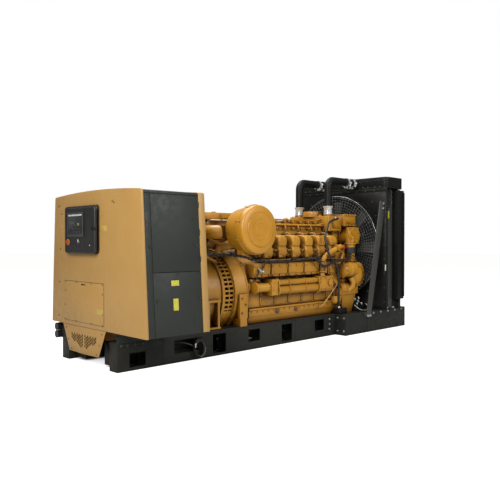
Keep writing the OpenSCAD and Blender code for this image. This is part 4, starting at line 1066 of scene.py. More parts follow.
# The near-black drum paints the shade seen through the openings.
drum = turned([(0.002, ring_r - 0.036), (ring_l - 0.002, ring_r - 0.036)], axis_point, (1, 0, 0), 96)
fit("cooling_ring_shade_drum", drum, near_black_seal_and_shade, stands_for=["generator_vent_ring"])
bar_master = block((0, -0.012, ring_r - 0.036), (ring_l, 0.012, ring_r - 0.001), 0.003)
wide_master = block((0, -0.028, ring_r - 0.036), (ring_l, 0.028, ring_r - 0.003), 0.003)
around = [Matrix.Translation(axis_point) @ Matrix.Rotation(a, 4, "X") for a in angles(60)]
open_part = [place for place in around if (place @ Vector((0, 0, 1)) - axis_point).z > -0.35]
shut_part = [place for place in around if (place @ Vector((0, 0, 1)) - axis_point).z <= -0.35]
ring_bars = joined("ring_bars", [stamped(bar_master, open_part), stamped(wide_master, shut_part)])
hoop_steps = [(0, ring_r - 0.03), (0.001, ring_r), (0.015, ring_r), (0.016, ring_r - 0.03)]
hoops = [turned(hoop_steps, axis_point + Vector((x, 0, 0)), (1, 0, 0), 96)
    for x in (0, ring_l / 2 - 0.008, ring_l - 0.016)]
fit("cooling_ring_bars", [ring_bars] + hoops)

# %% [markdown]
# Bolts go round the rim of the flywheel housing, and two raised bands run round the
# generator's frame.

# %% Flange bolts and frame bands
flywheel_r = (high("flywheel_housing").z - low("flywheel_housing").z) / 2
rim_x = low("flywheel_housing").x - skid_end
rim_end = high("flywheel_housing").x - skid_end
bolt_r = flywheel_r - 0.024
rim_bolts = [at(rim_x, bolt_r * math.sin(a), shaft_z + bolt_r * math.cos(a)) for a in angles(36)]
bolts("flywheel_rim_bolts", 0.024, facing(rim_bolts, (-1, 0, 0), 0.4))
frame_r = (high("generator_frame").z - low("generator_frame").z) / 2
band_steps = [(0, frame_r - 0.02), (0.002, frame_r + 0.01), (0.028, frame_r + 0.01),
    (0.03, frame_r - 0.02)]
bands = [turned(band_steps, at(x, 0, shaft_z), (1, 0, 0), 96) for x in (0.775, 1.455)]
fit("generator_frame_bands", bands)

# %% [markdown]
# The flywheel housing carries a starter motor low on each side, and the rear mounts are
# plates with three bolts.

# %% Starters and mount bolts
starters = []
for side in SIDES:
    middle = at(rim_end + 0.02, side * 0.505, 0.76)
    starters += [
        turned([(-0.02, 0.062), (0.02, 0.062), (0.025, 0.052), (0.21, 0.052), (0.22, 0.04),
            (0.25, 0.038)], middle, (1, 0, 0), 28),
        bar(middle + Vector((0.02, side * 0.035, 0.075)), middle + Vector((0.17, side * 0.035, 0.075)),
            0.026),
    ]
fit("starter_motors", starters)
mount_spots = [at(x, side * 0.592, z) for side in SIDES
    for x, z in ((1.725, 0.64), (1.785, 0.56), (1.725, 0.46))]
bolts("rear_mount_bolts", 0.02, outward(mount_spots), browned)
foot_bolts = [at(x, side * 0.515, skid_top + 0.028) for side in SIDES for x in (0.47, 0.61, 1.23, 1.37)]
bolts("generator_foot_bolts", 0.036, facing(foot_bolts, turn=0.4), skid_enamel)

# %% [markdown]
# ## The engine's two banks
#
# Each of the twelve cylinders has its own head and a domed valve cover. Between them stay
# the deep gaps that make the engine look like a row of upright blocks. `beside` takes a
# piece modelled at the middle of the machine to its cylinder on either side.

# %% Places of the cylinders
head_box = (low("cylinder_heads_left"), high("cylinder_heads_left"))
head_length = 0.24
cylinder_pitch = (head_box[1].x - head_box[0].x - head_length) / 5
cylinder_xs = [head_box[0].x - skid_end + head_length / 2 + cylinder_pitch * i for i in range(6)]


def beside(side, x):
    """From (along, outwards from the middle, height) to either side of the machine."""
    return Matrix.Translation(at(x, 0, 0)) @ Matrix.Diagonal((1, side, 1, 1))


every_cylinder = [beside(side, x) for side in SIDES for x in cylinder_xs]
print("cylinder pitch:", round(cylinder_pitch, 4))


# %% [markdown]
# Seen from the side, a head and its valve cover are two castings, one on the other, with a
# waist between. Both are drawn as the outline of a bank seen along the crankshaft, then
# given a width and well rounded.

# %% One head
def slab(outline, half_width, soft):
    """A casting with this outline of (outwards, height) points, centred on its cylinder."""
    points = [(-half_width, out, height) for out, height in outline]
    made = cut_plate(points, (2 * half_width, 0, 0), 0)
    use(made, "BEVEL", width=soft, segments=3, limit_method="ANGLE", angle_limit=math.radians(50))
    return made


head_outline = [(0.25, 1.16), (0.3, 1.32), (0.5, 1.3), (0.54, 1.262), (0.556, 1.205), (0.55, 1.15),
    (0.522, 1.108), (0.44, 1.076), (0.35, 1.09)]
parts = [
    slab(head_outline, 0.078, 0.013),
    slab([(0.3, 1.2), (0.33, 1.262), (0.47, 1.236), (0.492, 1.17), (0.44, 1.11)], 0.112, 0.008),
    turned([(0, 0.03), (0.016, 0.03), (0.024, 0.024), (0.024, 0.012), (0.012, 0.01)],
        (0.052, 0.53, 1.178), (0, 1, -0.2), 18),
    turned([(0, 0.022), (0.02, 0.021), (0.026, 0.014)], (-0.058, 0.53, 1.205), (0, 1, -0.1), 14),
    block((-0.08, 0.515, 1.118), (-0.01, 0.556, 1.156), 0.008),
]
for x in (-0.094, 0.094):
    for out, height in ((0.5, 1.205), (0.478, 1.14), (0.4, 1.252)):
        parts.append(turned([(0, 0.019), (0.014, 0.019), (0.02, 0.012), (0.034, 0.011), (0.037, 0.008)],
            (x, out - 0.006, height), (0, 0.9, 0.5), 10))
head = joined("cylinder_heads_cast", parts)
fit("cylinder_heads_cast", stamped(head, every_cylinder),
    stands_for=["cylinder_heads_right", "cylinder_heads_left"])

# %% One valve cover
cover_outline = [(0.318, 1.29), (0.318, 1.388), (0.345, 1.412), (0.43, 1.42), (0.5, 1.408), (0.54, 1.376),
    (0.552, 1.325), (0.546, 1.276), (0.52, 1.256)]
cover = slab(cover_outline, 0.082, 0.015)
for corner in cover.data.vertices:
    waist = min(1.0, max(0.0, (corner.co.z - 1.262) / 0.06))
    corner.co.x *= 0.9 + 0.1 * waist
parts = [
    cover,
    turned([(0, 0.036), (0.014, 0.036), (0.028, 0.028), (0.034, 0.014)], (-0.026, 0.512, 1.362),
        (0, 0.9, 0.35), 20),
    turned([(0, 0.026), (0.02, 0.024), (0.026, 0.016), (0.038, 0.015)], (0.02, 0.4, 1.414), (0, 0.15, 1),
        16),
]
for x in (-0.078, 0.078):
    for out, height in ((0.43, 1.284), (0.35, 1.306)):
        parts.append(stamped(bolt(0.02), [seat((x, out, height), (0, 0.3, 1))]))
cover = joined("valve_covers_domed", parts)
fit("valve_covers_domed", stamped(cover, every_cylinder),
    stands_for=["valve_covers_right", "valve_covers_left"])

# %% [markdown]
# Between the heads run short coolant jumpers and the injector leads; below them, a drain
# rail passes all six cylinders on each side.

# %% Jumpers and rails along the heads
jumper = [bar((0.07, 0.4, 1.352), (0.196, 0.4, 1.352), 0.015, 12),
    bar((0.07, 0.44, 1.2), (0.196, 0.44, 1.2), 0.014, 10)]
between = [beside(side, x) for side in SIDES for x in cylinder_xs[:-1]]
fit("head_jumpers", stamped(joined("jumper", jumper), between))
rail_pieces = []
for side in SIDES:
    for out, height, radius in ((0.525, 1.088, 0.013), (0.33, 1.436, 0.014), (0.285, 1.462, 0.009)):
        rail_pieces.append(bar(at(cylinder_xs[0] - 0.15, side * out, height),
            at(cylinder_xs[-1] + 0.13, side * out, height), radius, 12))
    for x in cylinder_xs:
        here = beside(side, x)
        rail_pieces += [
            bar(here @ Vector((0.02, 0.48, 1.11)), here @ Vector((0.02, 0.525, 1.088)), 0.011, 10),
            pipe([here @ Vector(p) for p in ((-0.02, 0.512, 1.375), (-0.045, 0.47, 1.425),
                (-0.05, 0.4, 1.452), (-0.045, 0.33, 1.44))], 0.006, 8, 5),
            block(here @ Vector((0.05, 0.3, 1.405)), here @ Vector((0.066, 0.352, 1.45)), 0.003),
        ]
fit("head_rails", rail_pieces)
dark_backs = [block(at(cylinder_xs[0] - 0.1, side * 0.345, 1.12),
    at(cylinder_xs[-1] + 0.1, side * 0.392, 1.3), 0.004) for side in SIDES]
fit("valley_shade", dark_backs, browned)

# %% [markdown]
# ## Crankcase, camshaft covers and sump
#
# The crankcase side has one shallow inspection plate for each pair of cylinders, with dark
# lines between them. The camshaft covers above are bolted round their edge, and the sump's
# flange has a close row of bolts and two drain plugs.

# %% Crankcase plates
side_face = 0.5
plates = []
for side in SIDES:
    for x in cylinder_xs:
        plates += [
            block(at(x - 0.124, side * (side_face - 0.004), 0.515),
                at(x + 0.124, side * (side_face + 0.01), 0.735), 0.006),
            block(at(x - 0.096, side * side_face, 0.545), at(x + 0.096, side * (side_face + 0.016), 0.64),
                0.006),
        ]
fit("crankcase_plates", plates)
spots = [at(x + dx, side * (side_face + 0.01), z) for side in SIDES for x in cylinder_xs
    for dx in (-0.108, 0.108) for z in (0.53, 0.625, 0.72)]
bolts("crankcase_bolts", 0.018, outward(spots))

# %% Camshaft cover bolts and pads
cam_low, cam_high = low("camshaft_covers"), high("camshaft_covers")
cam_face = cam_high.y - 0.01
cam_pitch, cam_length = 0.32, 0.296
cam_starts = [cam_low.x - skid_end + cam_pitch * i for i in range(4)]
spots = [at(x0 + dx, side * (cam_face + 0.006), z) for side in SIDES for x0 in cam_starts
    for dx in (0.022, cam_length / 2, cam_length - 0.022) for z in (cam_low.z + 0.03, cam_high.z - 0.036)]
bolts("camshaft_cover_bolts", 0.024, outward(spots))
pads = [block(at(x0 + 0.045, side * (cam_face - 0.01), cam_low.z + 0.045),
    at(x0 + cam_length - 0.045, side * (cam_face + 0.009), cam_high.z - 0.05), 0.008, 3) for side in SIDES
    for x0 in cam_starts]
fit("camshaft_cover_pads", pads)

# %% Sump flange, bolts and plugs
pan_low, pan_high = low("oil_pan"), high("oil_pan")
pan_face = pan_high.y
lips, spots = [], []
for side in SIDES:
    lips += [
        block(at(pan_low.x - skid_end, side * (pan_face - 0.01), pan_high.z - 0.022),
            at(pan_high.x - skid_end, side * (pan_face + 0.012), pan_high.z), 0.004),
        block(at(pan_low.x - skid_end, side * (pan_face - 0.01), pan_high.z - 0.098),
            at(pan_high.x - skid_end, side * (pan_face + 0.006), pan_high.z - 0.084), 0.004),
    ]
    spots += [at(pan_low.x - skid_end + 0.05 + 0.1 * i, side * (pan_face + 0.001), pan_high.z - 0.045)
        for i in range(18)]
fit("sump_flanges", lips)
bolts("sump_bolts", 0.02, outward(spots))
plug = turned([(0, 0.03), (0.01, 0.03), (0.012, 0.018), (0.03, 0.018), (0.034, 0.012)], (0, 0, 0),
    (0, 0, 1), 12)
plug_spots = [seat(at(x, side * (pan_face + 0.001), 0.427), (0, side, 0)) for side in SIDES
    for x in (2.405, 2.77)]
fit("sump_plugs", stamped(plug, plug_spots), browned)

# %% [markdown]
# ## Oil cooler
#
# Two tubes run along each side from a flanged header to a bonnet. Round flanges with bolts
# close both ends, and the real tubes have bands where brackets hold them.

# %% Oil cooler flanges, bands and bonnets
tube_y, tube_z, cooler_z = 0.61, 0.8, 0.707
parts = []
for side in SIDES:
    for z, radius in ((tube_z, 0.04), (cooler_z, 0.056)):
        for x in (2.3, 3.105):
            parts.append(turned([(-0.012, radius + 0.022), (0.01, radius + 0.022),
                (0.012, radius + 0.004)], at(x, side * tube_y, z), (1, 0, 0), 24))
        for x in (2.52, 2.84):
            parts.append(turned([(-0.01, radius + 0.004), (-0.008, radius + 0.01), (0.008, radius + 0.01),
                (0.01, radius + 0.004)], at(x, side * tube_y, z), (1, 0, 0), 24))
    end_z = (tube_z + cooler_z) / 2
    parts += [
        turned([(-0.014, 0.05), (-0.012, 0.074), (0.012, 0.074), (0.014, 0.058)],
            at(1.915, side * tube_y, end_z), (1, 0, 0), 28),
        turned([(-0.012, 0.06), (-0.01, 0.078), (0.014, 0.078), (0.016, 0.058)],
            at(2.16, side * tube_y, end_z), (1, 0, 0), 28),
        block(at(3.135, side * 0.6, 0.665), at(3.425, side * 0.655, 0.838), 0.02, 3),
        turned([(0, 0.052), (0.014, 0.052), (0.016, 0.044), (0.03, 0.042)], at(3.23, side * 0.6, 0.85),
            (0, 0, 1), 24),
        turned([(0, 0.044), (0.02, 0.044), (0.024, 0.03)], at(2.225, side * 0.65, 0.76), (0, side, 0),
            20),
        turned([(0, 0.05), (0.018, 0.05), (0.022, 0.034)], at(3.35, side * 0.655, 0.76), (0, side, 0),
            20),
    ]
fit("oil_cooler_fittings", parts)
spots = [seat(at(x, side * 0.655, z), (0, side, 0)) for side in SIDES for x in (3.155, 3.255, 3.405)
    for z in (0.682, 0.82)]
spots += [seat(at(2.288, side * (tube_y + 0.06 * math.sin(a)), 0.707 + 0.066 * math.cos(a)), (-1, 0, 0))
    for side in SIDES for a in angles(6)]
bolts("oil_cooler_bolts", 0.018, spots)

# %% [markdown]
# ## Aftercooler
#
# The charge-air housing lies in the valley between the banks. A row of bolts runs along
# each of its plates, and small brackets and lifting eyes stand on its cap.

# %% Aftercooler bolts, tabs and eyes
cool_high = high("aftercooler")
cap_z = cool_high.z
first_x = cylinder_xs[0] - 0.1
spots = [at(first_x + 0.095 * i, side * 0.282, 1.502 + 0.004) for side in SIDES for i in range(16)]
bolts("aftercooler_bolts", 0.022, facing(spots))
parts = []
for side in SIDES:
    for i in range(9):
        x = first_x + 0.165 * i
        parts += [
            block(at(x, side * 0.262, 1.5), at(x + 0.026, side * 0.318, 1.522), 0.004),
            block(at(x + 0.06, side * 0.205, cap_z - 0.03), at(x + 0.082, side * 0.262, cap_z + 0.01),
                0.005),
        ]
    for x in (2.34, 3.26):
        eye = block(at(x, side * 0.15, cap_z - 0.01), at(x + 0.02, side * 0.075, cap_z + 0.06), 0.008)
        parts += [
            eye,
            turned([(0, 0.036), (0.006, 0.03), (0.016, 0.03)], at(x + 0.026, side * 0.112, cap_z + 0.03),
                (1, 0, 0), 18),
        ]
fit("aftercooler_brackets", parts)

# %% [markdown]
# Four slim pipes run along the top, between the air cleaners and the gear case: two fuel
# lines and two vents, with a clip and an elbow here and there.

# %% Lines along the top
parts = []
for y, z, radius in ((-0.245, 1.56, 0.012), (-0.205, 1.628, 0.01), (0.245, 1.56, 0.012),
    (0.205, 1.628, 0.01)):
    run = [at(2.02, y * 0.9, z - 0.06), at(2.1, y, z), at(2.6, y, z + 0.004), at(3.2, y, z),
        at(3.56, y, z + 0.01), at(3.66, y * 1.15, z + 0.03)]
    parts.append(pipe(run, radius, 10, 6))
    for x in (2.45, 2.95, 3.4):
        parts.append(block(at(x, y - 0.02, z - 0.026), at(x + 0.016, y + 0.02, z + 0.018), 0.004))
for x in (2.28, 2.55, 2.81, 3.08, 3.35):
    for side in SIDES:
        parts.append(pipe(side_route(side, (x, 0.3, 1.455), (x - 0.012, 0.322, 1.505),
            (x - 0.01, 0.3, 1.548), (x, 0.246, 1.562)), 0.009, 8, 5))
fit("top_lines", parts)

# %% [markdown]
# ## Turbochargers and exhaust
#
# Each turbocharger is a snail-shaped volute round a bearing housing. The volute is a swept
# ring whose section grows as it goes round; clamps and bolts hold the two halves.

# %% Turbochargers
turbo_x, turbo_z = 1.33, 1.44
balls = 18
parts, nuts = [], []
for side in SIDES:
    here = at(turbo_x, side * 0.235, turbo_z)
    parts.append(turned([(-0.045, 0.06), (-0.04, 0.118), (-0.028, 0.124), (0.028, 0.124), (0.04, 0.118),
        (0.055, 0.086), (0.075, 0.082)], here, (0, side, 0), 40))
    for step, angle in enumerate(angles(balls)):
        grown = 0.03 + 0.026 * step / balls
        reach = 0.138 - 0.4 * grown
        centre = here + Vector((reach * math.cos(angle), 0, reach * math.sin(angle)))
        bpy.ops.mesh.primitive_uv_sphere_add(segments=12, ring_count=8, radius=grown, location=centre)
        parts.append(settled())
    parts += [
        bar(here + Vector((0.1, 0, 0.02)), here + Vector((0.13, 0, 0.145)), 0.055, 20, 0.006),
        turned([(0, 0.098), (0.004, 0.106), (0.014, 0.106), (0.018, 0.098)],
            here + Vector((0, side * 0.076, 0)), (0, side, 0)),
    ]
    nuts += [seat(here + Vector((0.105 * math.cos(a), side * 0.04, 0.105 * math.sin(a))), (0, side, 0))
        for a in angles(10)]
fit("turbo_volutes", parts)
bolts("turbo_bolts", 0.02, nuts, browned)

# %% [markdown]
# From each turbocharger the compressed air goes down and inwards to the aftercooler, and
# the intake comes from the air cleaner. Rubber sleeves with clamps join the pipes.

# %% Charge pipes and sleeves
parts, sleeves, bands = [], [], []
for side in SIDES:
    parts += [
        pipe(side_route(side, (1.4, 0.3, 1.33), (1.56, 0.34, 1.27), (1.78, 0.33, 1.3), (1.98, 0.24, 1.4),
            (2.12, 0.15, 1.47)), 0.058, 16, 8),
        block(at(1.24, side * 0.08, 1.06), at(1.42, side * 0.3, 1.2), 0.03, 3),
        turned([(0, 0.07), (0.02, 0.07), (0.024, 0.052), (0.1, 0.05)], at(1.48, side * 0.44, 1.175),
            (0.2, 0, 1), 24),
        pipe(side_route(side, (1.26, 0.33, 1.325), (1.22, 0.4, 1.23), (1.3, 0.43, 1.15),
            (1.44, 0.43, 1.09)), 0.02, 10, 6),
    ]
    start = at(turbo_x, side * 0.298, turbo_z)
    parts += [
        block(at(0.96, side * 0.12, 1.3), at(1.18, side * 0.3, 1.59), 0.02, 3),
        block(at(1.48, side * 0.15, 1.34), at(1.93, side * 0.25, 1.596), 0.03, 3),
        bar(at(1.0, side * 0.22, 1.18), at(1.0, side * 0.22, 1.4), 0.055, 20, 0.008),
    ]
    sleeves.append(turned([(0, 0.082), (0.006, 0.088), (0.066, 0.088), (0.072, 0.082)], start,
        (0, side, 0)))
    for offset in (0.01, 0.048):
        bands.append(band(0.088, 0.092, 0.014, start + Vector((0, side * offset, 0)), (0, side, 0)))
    joint = at(turbo_x + 0.15, side * 0.59, turbo_z)
    sleeves.append(turned([(0, 0.083), (0.008, 0.09), (0.05, 0.09), (0.058, 0.083)], joint, (1, 0, 0)))
    bands += [band(0.09, 0.095, 0.014, joint + Vector((x, 0, 0)), (1, 0, 0)) for x in (0.012, 0.036)]
fit("charge_pipes", parts)
fit("intake_sleeves", sleeves, hose_rubber)
fit("intake_bands", bands, browned)

# %% [markdown]
# ## Air cleaners
#
# Each cleaner is a spun canister, narrower towards the engine. Its lid has a rolled rim
# and shallow concentric steps, and a band with spring clips holds the lid to the can.

# %% One air cleaner
cleaner_low, cleaner_high = low("air_cleaner_left"), high("air_cleaner_left")
cleaner_r = (cleaner_high.z - cleaner_low.z) / 2
cleaner_middle = Vector(((cleaner_low.x + cleaner_high.x) / 2, 0, (cleaner_low.z + cleaner_high.z) / 2))
can_start, can_end = cleaner_low.y, cleaner_high.y
length = can_end - can_start
profile = [(0.07, cleaner_r * 0.5), (0.074, cleaner_r * 0.78), (0.084, cleaner_r * 0.82),
    (0.1, cleaner_r * 0.83), (length - 0.112, cleaner_r * 0.965), (length - 0.108, cleaner_r - 0.002),
    (length - 0.086, cleaner_r - 0.001), (length - 0.082, cleaner_r - 0.008),
    (length - 0.036, cleaner_r - 0.01), (length - 0.02, cleaner_r - 0.017),
    (length - 0.01, cleaner_r - 0.03), (length - 0.008, cleaner_r * 0.68),
    (length - 0.0005, cleaner_r * 0.665), (length - 0.0005, cleaner_r * 0.44),
    (length - 0.004, cleaner_r * 0.425), (length - 0.004, cleaner_r * 0.25),
    (length - 0.001, cleaner_r * 0.24), (length - 0.001, cleaner_r * 0.06)]
for side, name in ((RIGHT, "air_cleaner_right"), (LEFT, "air_cleaner_left")):
    start = cleaner_middle + Vector((0, side * can_start, 0))
    can = [turned(profile, start, (0, side, 0), 128)]
    for angle in (20, 65, 110, 155, 200, 245, 290, 335):
        clip = joined("clip",
            [block((-0.014, length - 0.135, cleaner_r - 0.014), (0.014, length - 0.06, cleaner_r), 0.004),
            block((-0.009, length - 0.12, cleaner_r - 0.012), (0.009, length - 0.092, cleaner_r + 0.003),
            0.003)])
        turn = Matrix.Translation(start) @ Matrix.Diagonal((1, side, 1,
            1)) @ Matrix.Rotation(math.radians(angle), 4, "Y")
        can.append(stamped(clip, [turn]))
    fit(name + "_canister", can, stands_for=[name])

# %% [markdown]
# The frame that carries the cleaners is bolted together, and saddles with two bolts each
# hold the canisters.

# %% Frame bolts and saddles
frame_high = high("air_cleaner_frame")
spots = [at(x, side * 0.341, 1.64) for side in SIDES for x in (1.26, 1.34, 1.8, 1.9)]
places = outward(spots)
places += [seat(at(x, side * y, frame_high.z)) for side in SIDES for x in (1.3, 1.52, 1.9)
    for y in (0.28, 0.32)]
bolts("cleaner_frame_bolts", 0.024, places)

# %% [markdown]
# ## Front of the engine
#
# The regulator housing on top of the gear case is a lumpy casting: a dome for the
# thermostats, round covers with bolts, and lips round its nose.

# %% Regulator housing
tower_top, nose_low, nose_top = 1.7, 1.565, 1.73
dome_x = 3.75
parts = [turned([(0, 0.15), (0.02, 0.15), (0.024, 0.138), (0.056, 0.136), (0.068, 0.124), (0.076, 0.104),
    (0.078, 0.03)], at(dome_x, 0, tower_top - 0.004), (0, 0, 1), 48)]
for side in SIDES:
    parts += [
        turned([(0, 0.076), (0.012, 0.078), (0.014, 0.06), (0.026, 0.058), (0.03, 0.046)],
            at(3.81, side * 0.38, 1.6), (0, side, 0)),
        turned([(0, 0.074), (0.018, 0.076), (0.02, 0.066), (0.03, 0.064)],
            at(3.77, side * 0.28, tower_top), (0, 0, 1), 32),
        block(at(3.665, side * 0.17, 1.69), at(3.95, side * 0.225, 1.716), 0.008),
        block(at(3.7, side * 0.372, 1.49), at(3.93, side * 0.394, 1.52), 0.008),
        bar(at(3.9, side * 0.2, tower_top - 0.01), at(3.9, side * 0.2, 1.742), 0.026, 18, 0.004),
        block(at(3.962, side * 0.395, nose_low - 0.01), at(4.262, side * 0.433, nose_low + 0.016), 0.006),
        block(at(3.962, side * 0.4, nose_top - 0.018), at(4.262, side * 0.434, nose_top + 0.004), 0.006),
        block(at(3.99, side * 0.426, nose_low + 0.03), at(4.23, side * 0.438, nose_top - 0.034), 0.005),
        turned([(0, 0.046), (0.01, 0.046), (0.014, 0.034), (0.026, 0.032)], at(4.04, side * 0.434, 1.648),
            (0, side, 0), 24),
    ]
parts.append(block(at(4.242, -0.43, nose_low - 0.008), at(4.262, 0.43, nose_top + 0.006), 0.006))
fit("regulator_details", parts)
spots = [seat(at(dome_x + 0.138 * math.cos(a), 0.138 * math.sin(a), tower_top + 0.017))
    for a in angles(10)]
spots += [seat(at(x, side * 0.434, z), (0, side, 0)) for side in SIDES for x in (3.985, 4.08, 4.16, 4.24)
    for z in (nose_low + 0.004, nose_top - 0.007)]
spots += [seat(at(3.81 + 0.066 * math.cos(a), side * 0.393, 1.6 + 0.066 * math.sin(a)), (0, side, 0))
    for side in SIDES for a in angles(8)]
spots += [seat(at(x, side * 0.198, 1.716)) for side in SIDES for x in (3.69, 3.78, 3.84, 3.93)]
spots += [seat(at(x, side * 0.35, tower_top)) for side in SIDES for x in (3.69, 3.86, 3.93)]
bolts("regulator_bolts", 0.024, spots)

# %% [markdown]
# The crossover pipe lies across the front. Each end is a squarish block with a round recess,
# held by a ring of bolts, and its drop pipe meets the pump through a flange and a sleeve.

# %% Crossover ends and drop pipes
cross_x, cross_z = 4.12, 1.415
parts, spots, sleeves = [], [], []
for side in SIDES:
    parts += [
        turned([(-0.2, 0.11), (-0.196, 0.122), (-0.176, 0.122), (-0.172, 0.114), (-0.05, 0.114),
            (-0.046, 0.126), (0.026, 0.127), (0.034, 0.12), (0.036, 0.062), (0.02, 0.056), (0.02, 0.01)],
            at(cross_x, side * 0.48, cross_z), (0, side, 0), 40),
        block(at(cross_x - 0.124, side * 0.43, cross_z - 0.124),
            at(cross_x - 0.02, side * 0.5, cross_z + 0.124), 0.016, 3),
        block(at(cross_x + 0.02, side * 0.43, cross_z - 0.124),
            at(cross_x + 0.11, side * 0.5, cross_z + 0.124), 0.016, 3),
    ]
    for z in (1.285, 1.03):
        parts.append(turned([(0, 0.072), (0.002, 0.09), (0.02, 0.09), (0.022, 0.072)],
            at(4.075, side * 0.46, z), (0, 0, 1), 28))
    sleeves.append(turned([(0, 0.072), (0.006, 0.08), (0.084, 0.08), (0.09, 0.072)],
        at(4.075, side * 0.46, 1.15), (0, 0, 1), 28))
    spots += [seat(at(cross_x + 0.094 * math.cos(a), side * 0.515, cross_z + 0.094 * math.sin(a)),
        (0, side, 0)) for a in angles(6, 0.5)]
    spots += [seat(at(cross_x + dx, side * 0.5, cross_z + dz), (0, side, 0)) for dx in (-0.108, 0.096)
        for dz in (-0.108, 0.108)]
fit("crossover_ends", parts)
bolts("crossover_bolts", 0.024, spots)
fit("drop_pipe_sleeves", sleeves, hose_rubber)

# %% [markdown]
# Each water pump has a stepped body, a bolted cover and a snail-shaped volute. The bolts
# round its rim are the busiest spot of the engine's front.

# %% Water pumps
pump_z, volute_x, volute_z = 0.915, 4.08, 0.825
parts, spots = [], []
for side in SIDES:
    body = at(3.72, side * 0.56, pump_z)
    parts.append(turned([(0, 0.06), (0.01, 0.098), (0.018, 0.108), (0.04, 0.108), (0.044, 0.096),
        (0.12, 0.1), (0.15, 0.116), (0.17, 0.116), (0.174, 0.104), (0.28, 0.1), (0.292, 0.07)], body,
        (1, 0, 0), 36))
    cover = at(volute_x, side * 0.585, volute_z)
    parts.append(turned([(0, 0.15), (0.004, 0.158), (0.02, 0.158), (0.024, 0.128), (0.046, 0.104),
        (0.06, 0.062), (0.064, 0.03)], cover - Vector((0, side * 0.01, 0)), (0, side, 0), 40))
    spots += [seat(cover + Vector((0.145 * math.cos(a), side * 0.01, 0.145 * math.sin(a))), (0, side, 0))
        for a in angles(14)]
    parts.append(turned([(0, 0.15), (0.006, 0.156), (0.1, 0.152), (0.11, 0.14)],
        at(volute_x, side * 0.43, volute_z), (0, side, 0), 40))
    spots += [seat(body + Vector((0.02, side * 0.104 * math.cos(a), 0.104 * math.sin(a))), (-1, 0, 0))
        for a in angles(10)]
    parts.append(pipe(side_route(side, (3.9, 0.6, 0.8), (3.93, 0.62, 0.72), (3.9, 0.59, 0.64),
        (3.8, 0.54, 0.6)), 0.04, 14, 8))
fit("water_pump_bodies", parts)
bolts("water_pump_bolts", 0.032, spots)

# %% [markdown]
# Low on each side of the gear case sit a round oil pump housing and a filter base, with a
# bulging cover, a drain pipe and bolts. Bolts also follow the edge of the gear case.

# %% Gear case covers and oil pump
parts, spots = [], []
for side in SIDES:
    parts += [
        block(at(3.56, side * 0.47, 0.52), at(3.85, side * 0.565, 0.66), 0.035, 4),
        turned([(0, 0.062), (0.01, 0.084), (0.07, 0.086), (0.078, 0.096), (0.1, 0.096), (0.108, 0.086),
            (0.25, 0.084), (0.27, 0.06)], at(3.69, side * 0.52, 0.64), (1, 0, 0)),
        turned([(0, 0.03), (0.01, 0.058), (0.03, 0.082), (0.062, 0.096), (0.1, 0.1), (0.116, 0.104),
            (0.13, 0.104), (0.134, 0.088)], at(3.62, side * 0.52, 0.42), (0, 0, 1), 32),
        turned([(0, 0.1), (0.012, 0.112), (0.034, 0.112), (0.04, 0.094), (0.07, 0.08), (0.084, 0.05)],
            at(3.9, side * 0.46, 0.56), (0, side, 0), 36),
        turned([(0, 0.062), (0.01, 0.068), (0.032, 0.068), (0.038, 0.052)], at(3.65, side * 0.56, 0.595),
            (0, side, 0), 28),
        block(at(3.8, side * 0.44, 0.7), at(3.965, side * 0.52, 0.8), 0.02, 3),
        bar(at(3.59, side * 0.5, 0.43), at(3.59, side * 0.5, 0.56), 0.048, 24, 0.01),
        pipe(side_route(side, (3.62, 0.48, 0.5), (3.7, 0.52, 0.44), (3.84, 0.51, 0.425),
            (3.92, 0.44, 0.45)), 0.03, 12, 8),
    ]
    spots += [seat(at(3.9 + 0.1 * math.cos(a), side * 0.494, 0.56 + 0.1 * math.sin(a)), (0, side, 0))
        for a in angles(10)]
    spots += [seat(at(3.65 + 0.056 * math.cos(a), side * 0.592, 0.595 + 0.056 * math.sin(a)),
        (0, side, 0)) for a in angles(6)]
    spots += [seat(at(3.875, side * y, z), (-1, 0, 0)) for y, z in ((0.505, 0.98), (0.505, 0.86))]
fit("gear_case_covers", parts)
bolts("gear_case_bolts", 0.026, spots)
parts = [turned([(0, 0.11), (0.012, 0.112), (0.016, 0.092), (0.022, 0.09), (0.024, 0.04)], at(3.98, y, z),
    (1, 0, 0)) for y, z in ((-0.25, 0.64), (0.25, 0.64), (-0.23, 1.01), (0.23, 1.01))]
fit("front_round_covers", parts)

# %% [markdown]
# The riser from the oil cooler is dressed with flanges, and beside it hang a fuel filter
# and a governor box. A red cap is the only other colour.

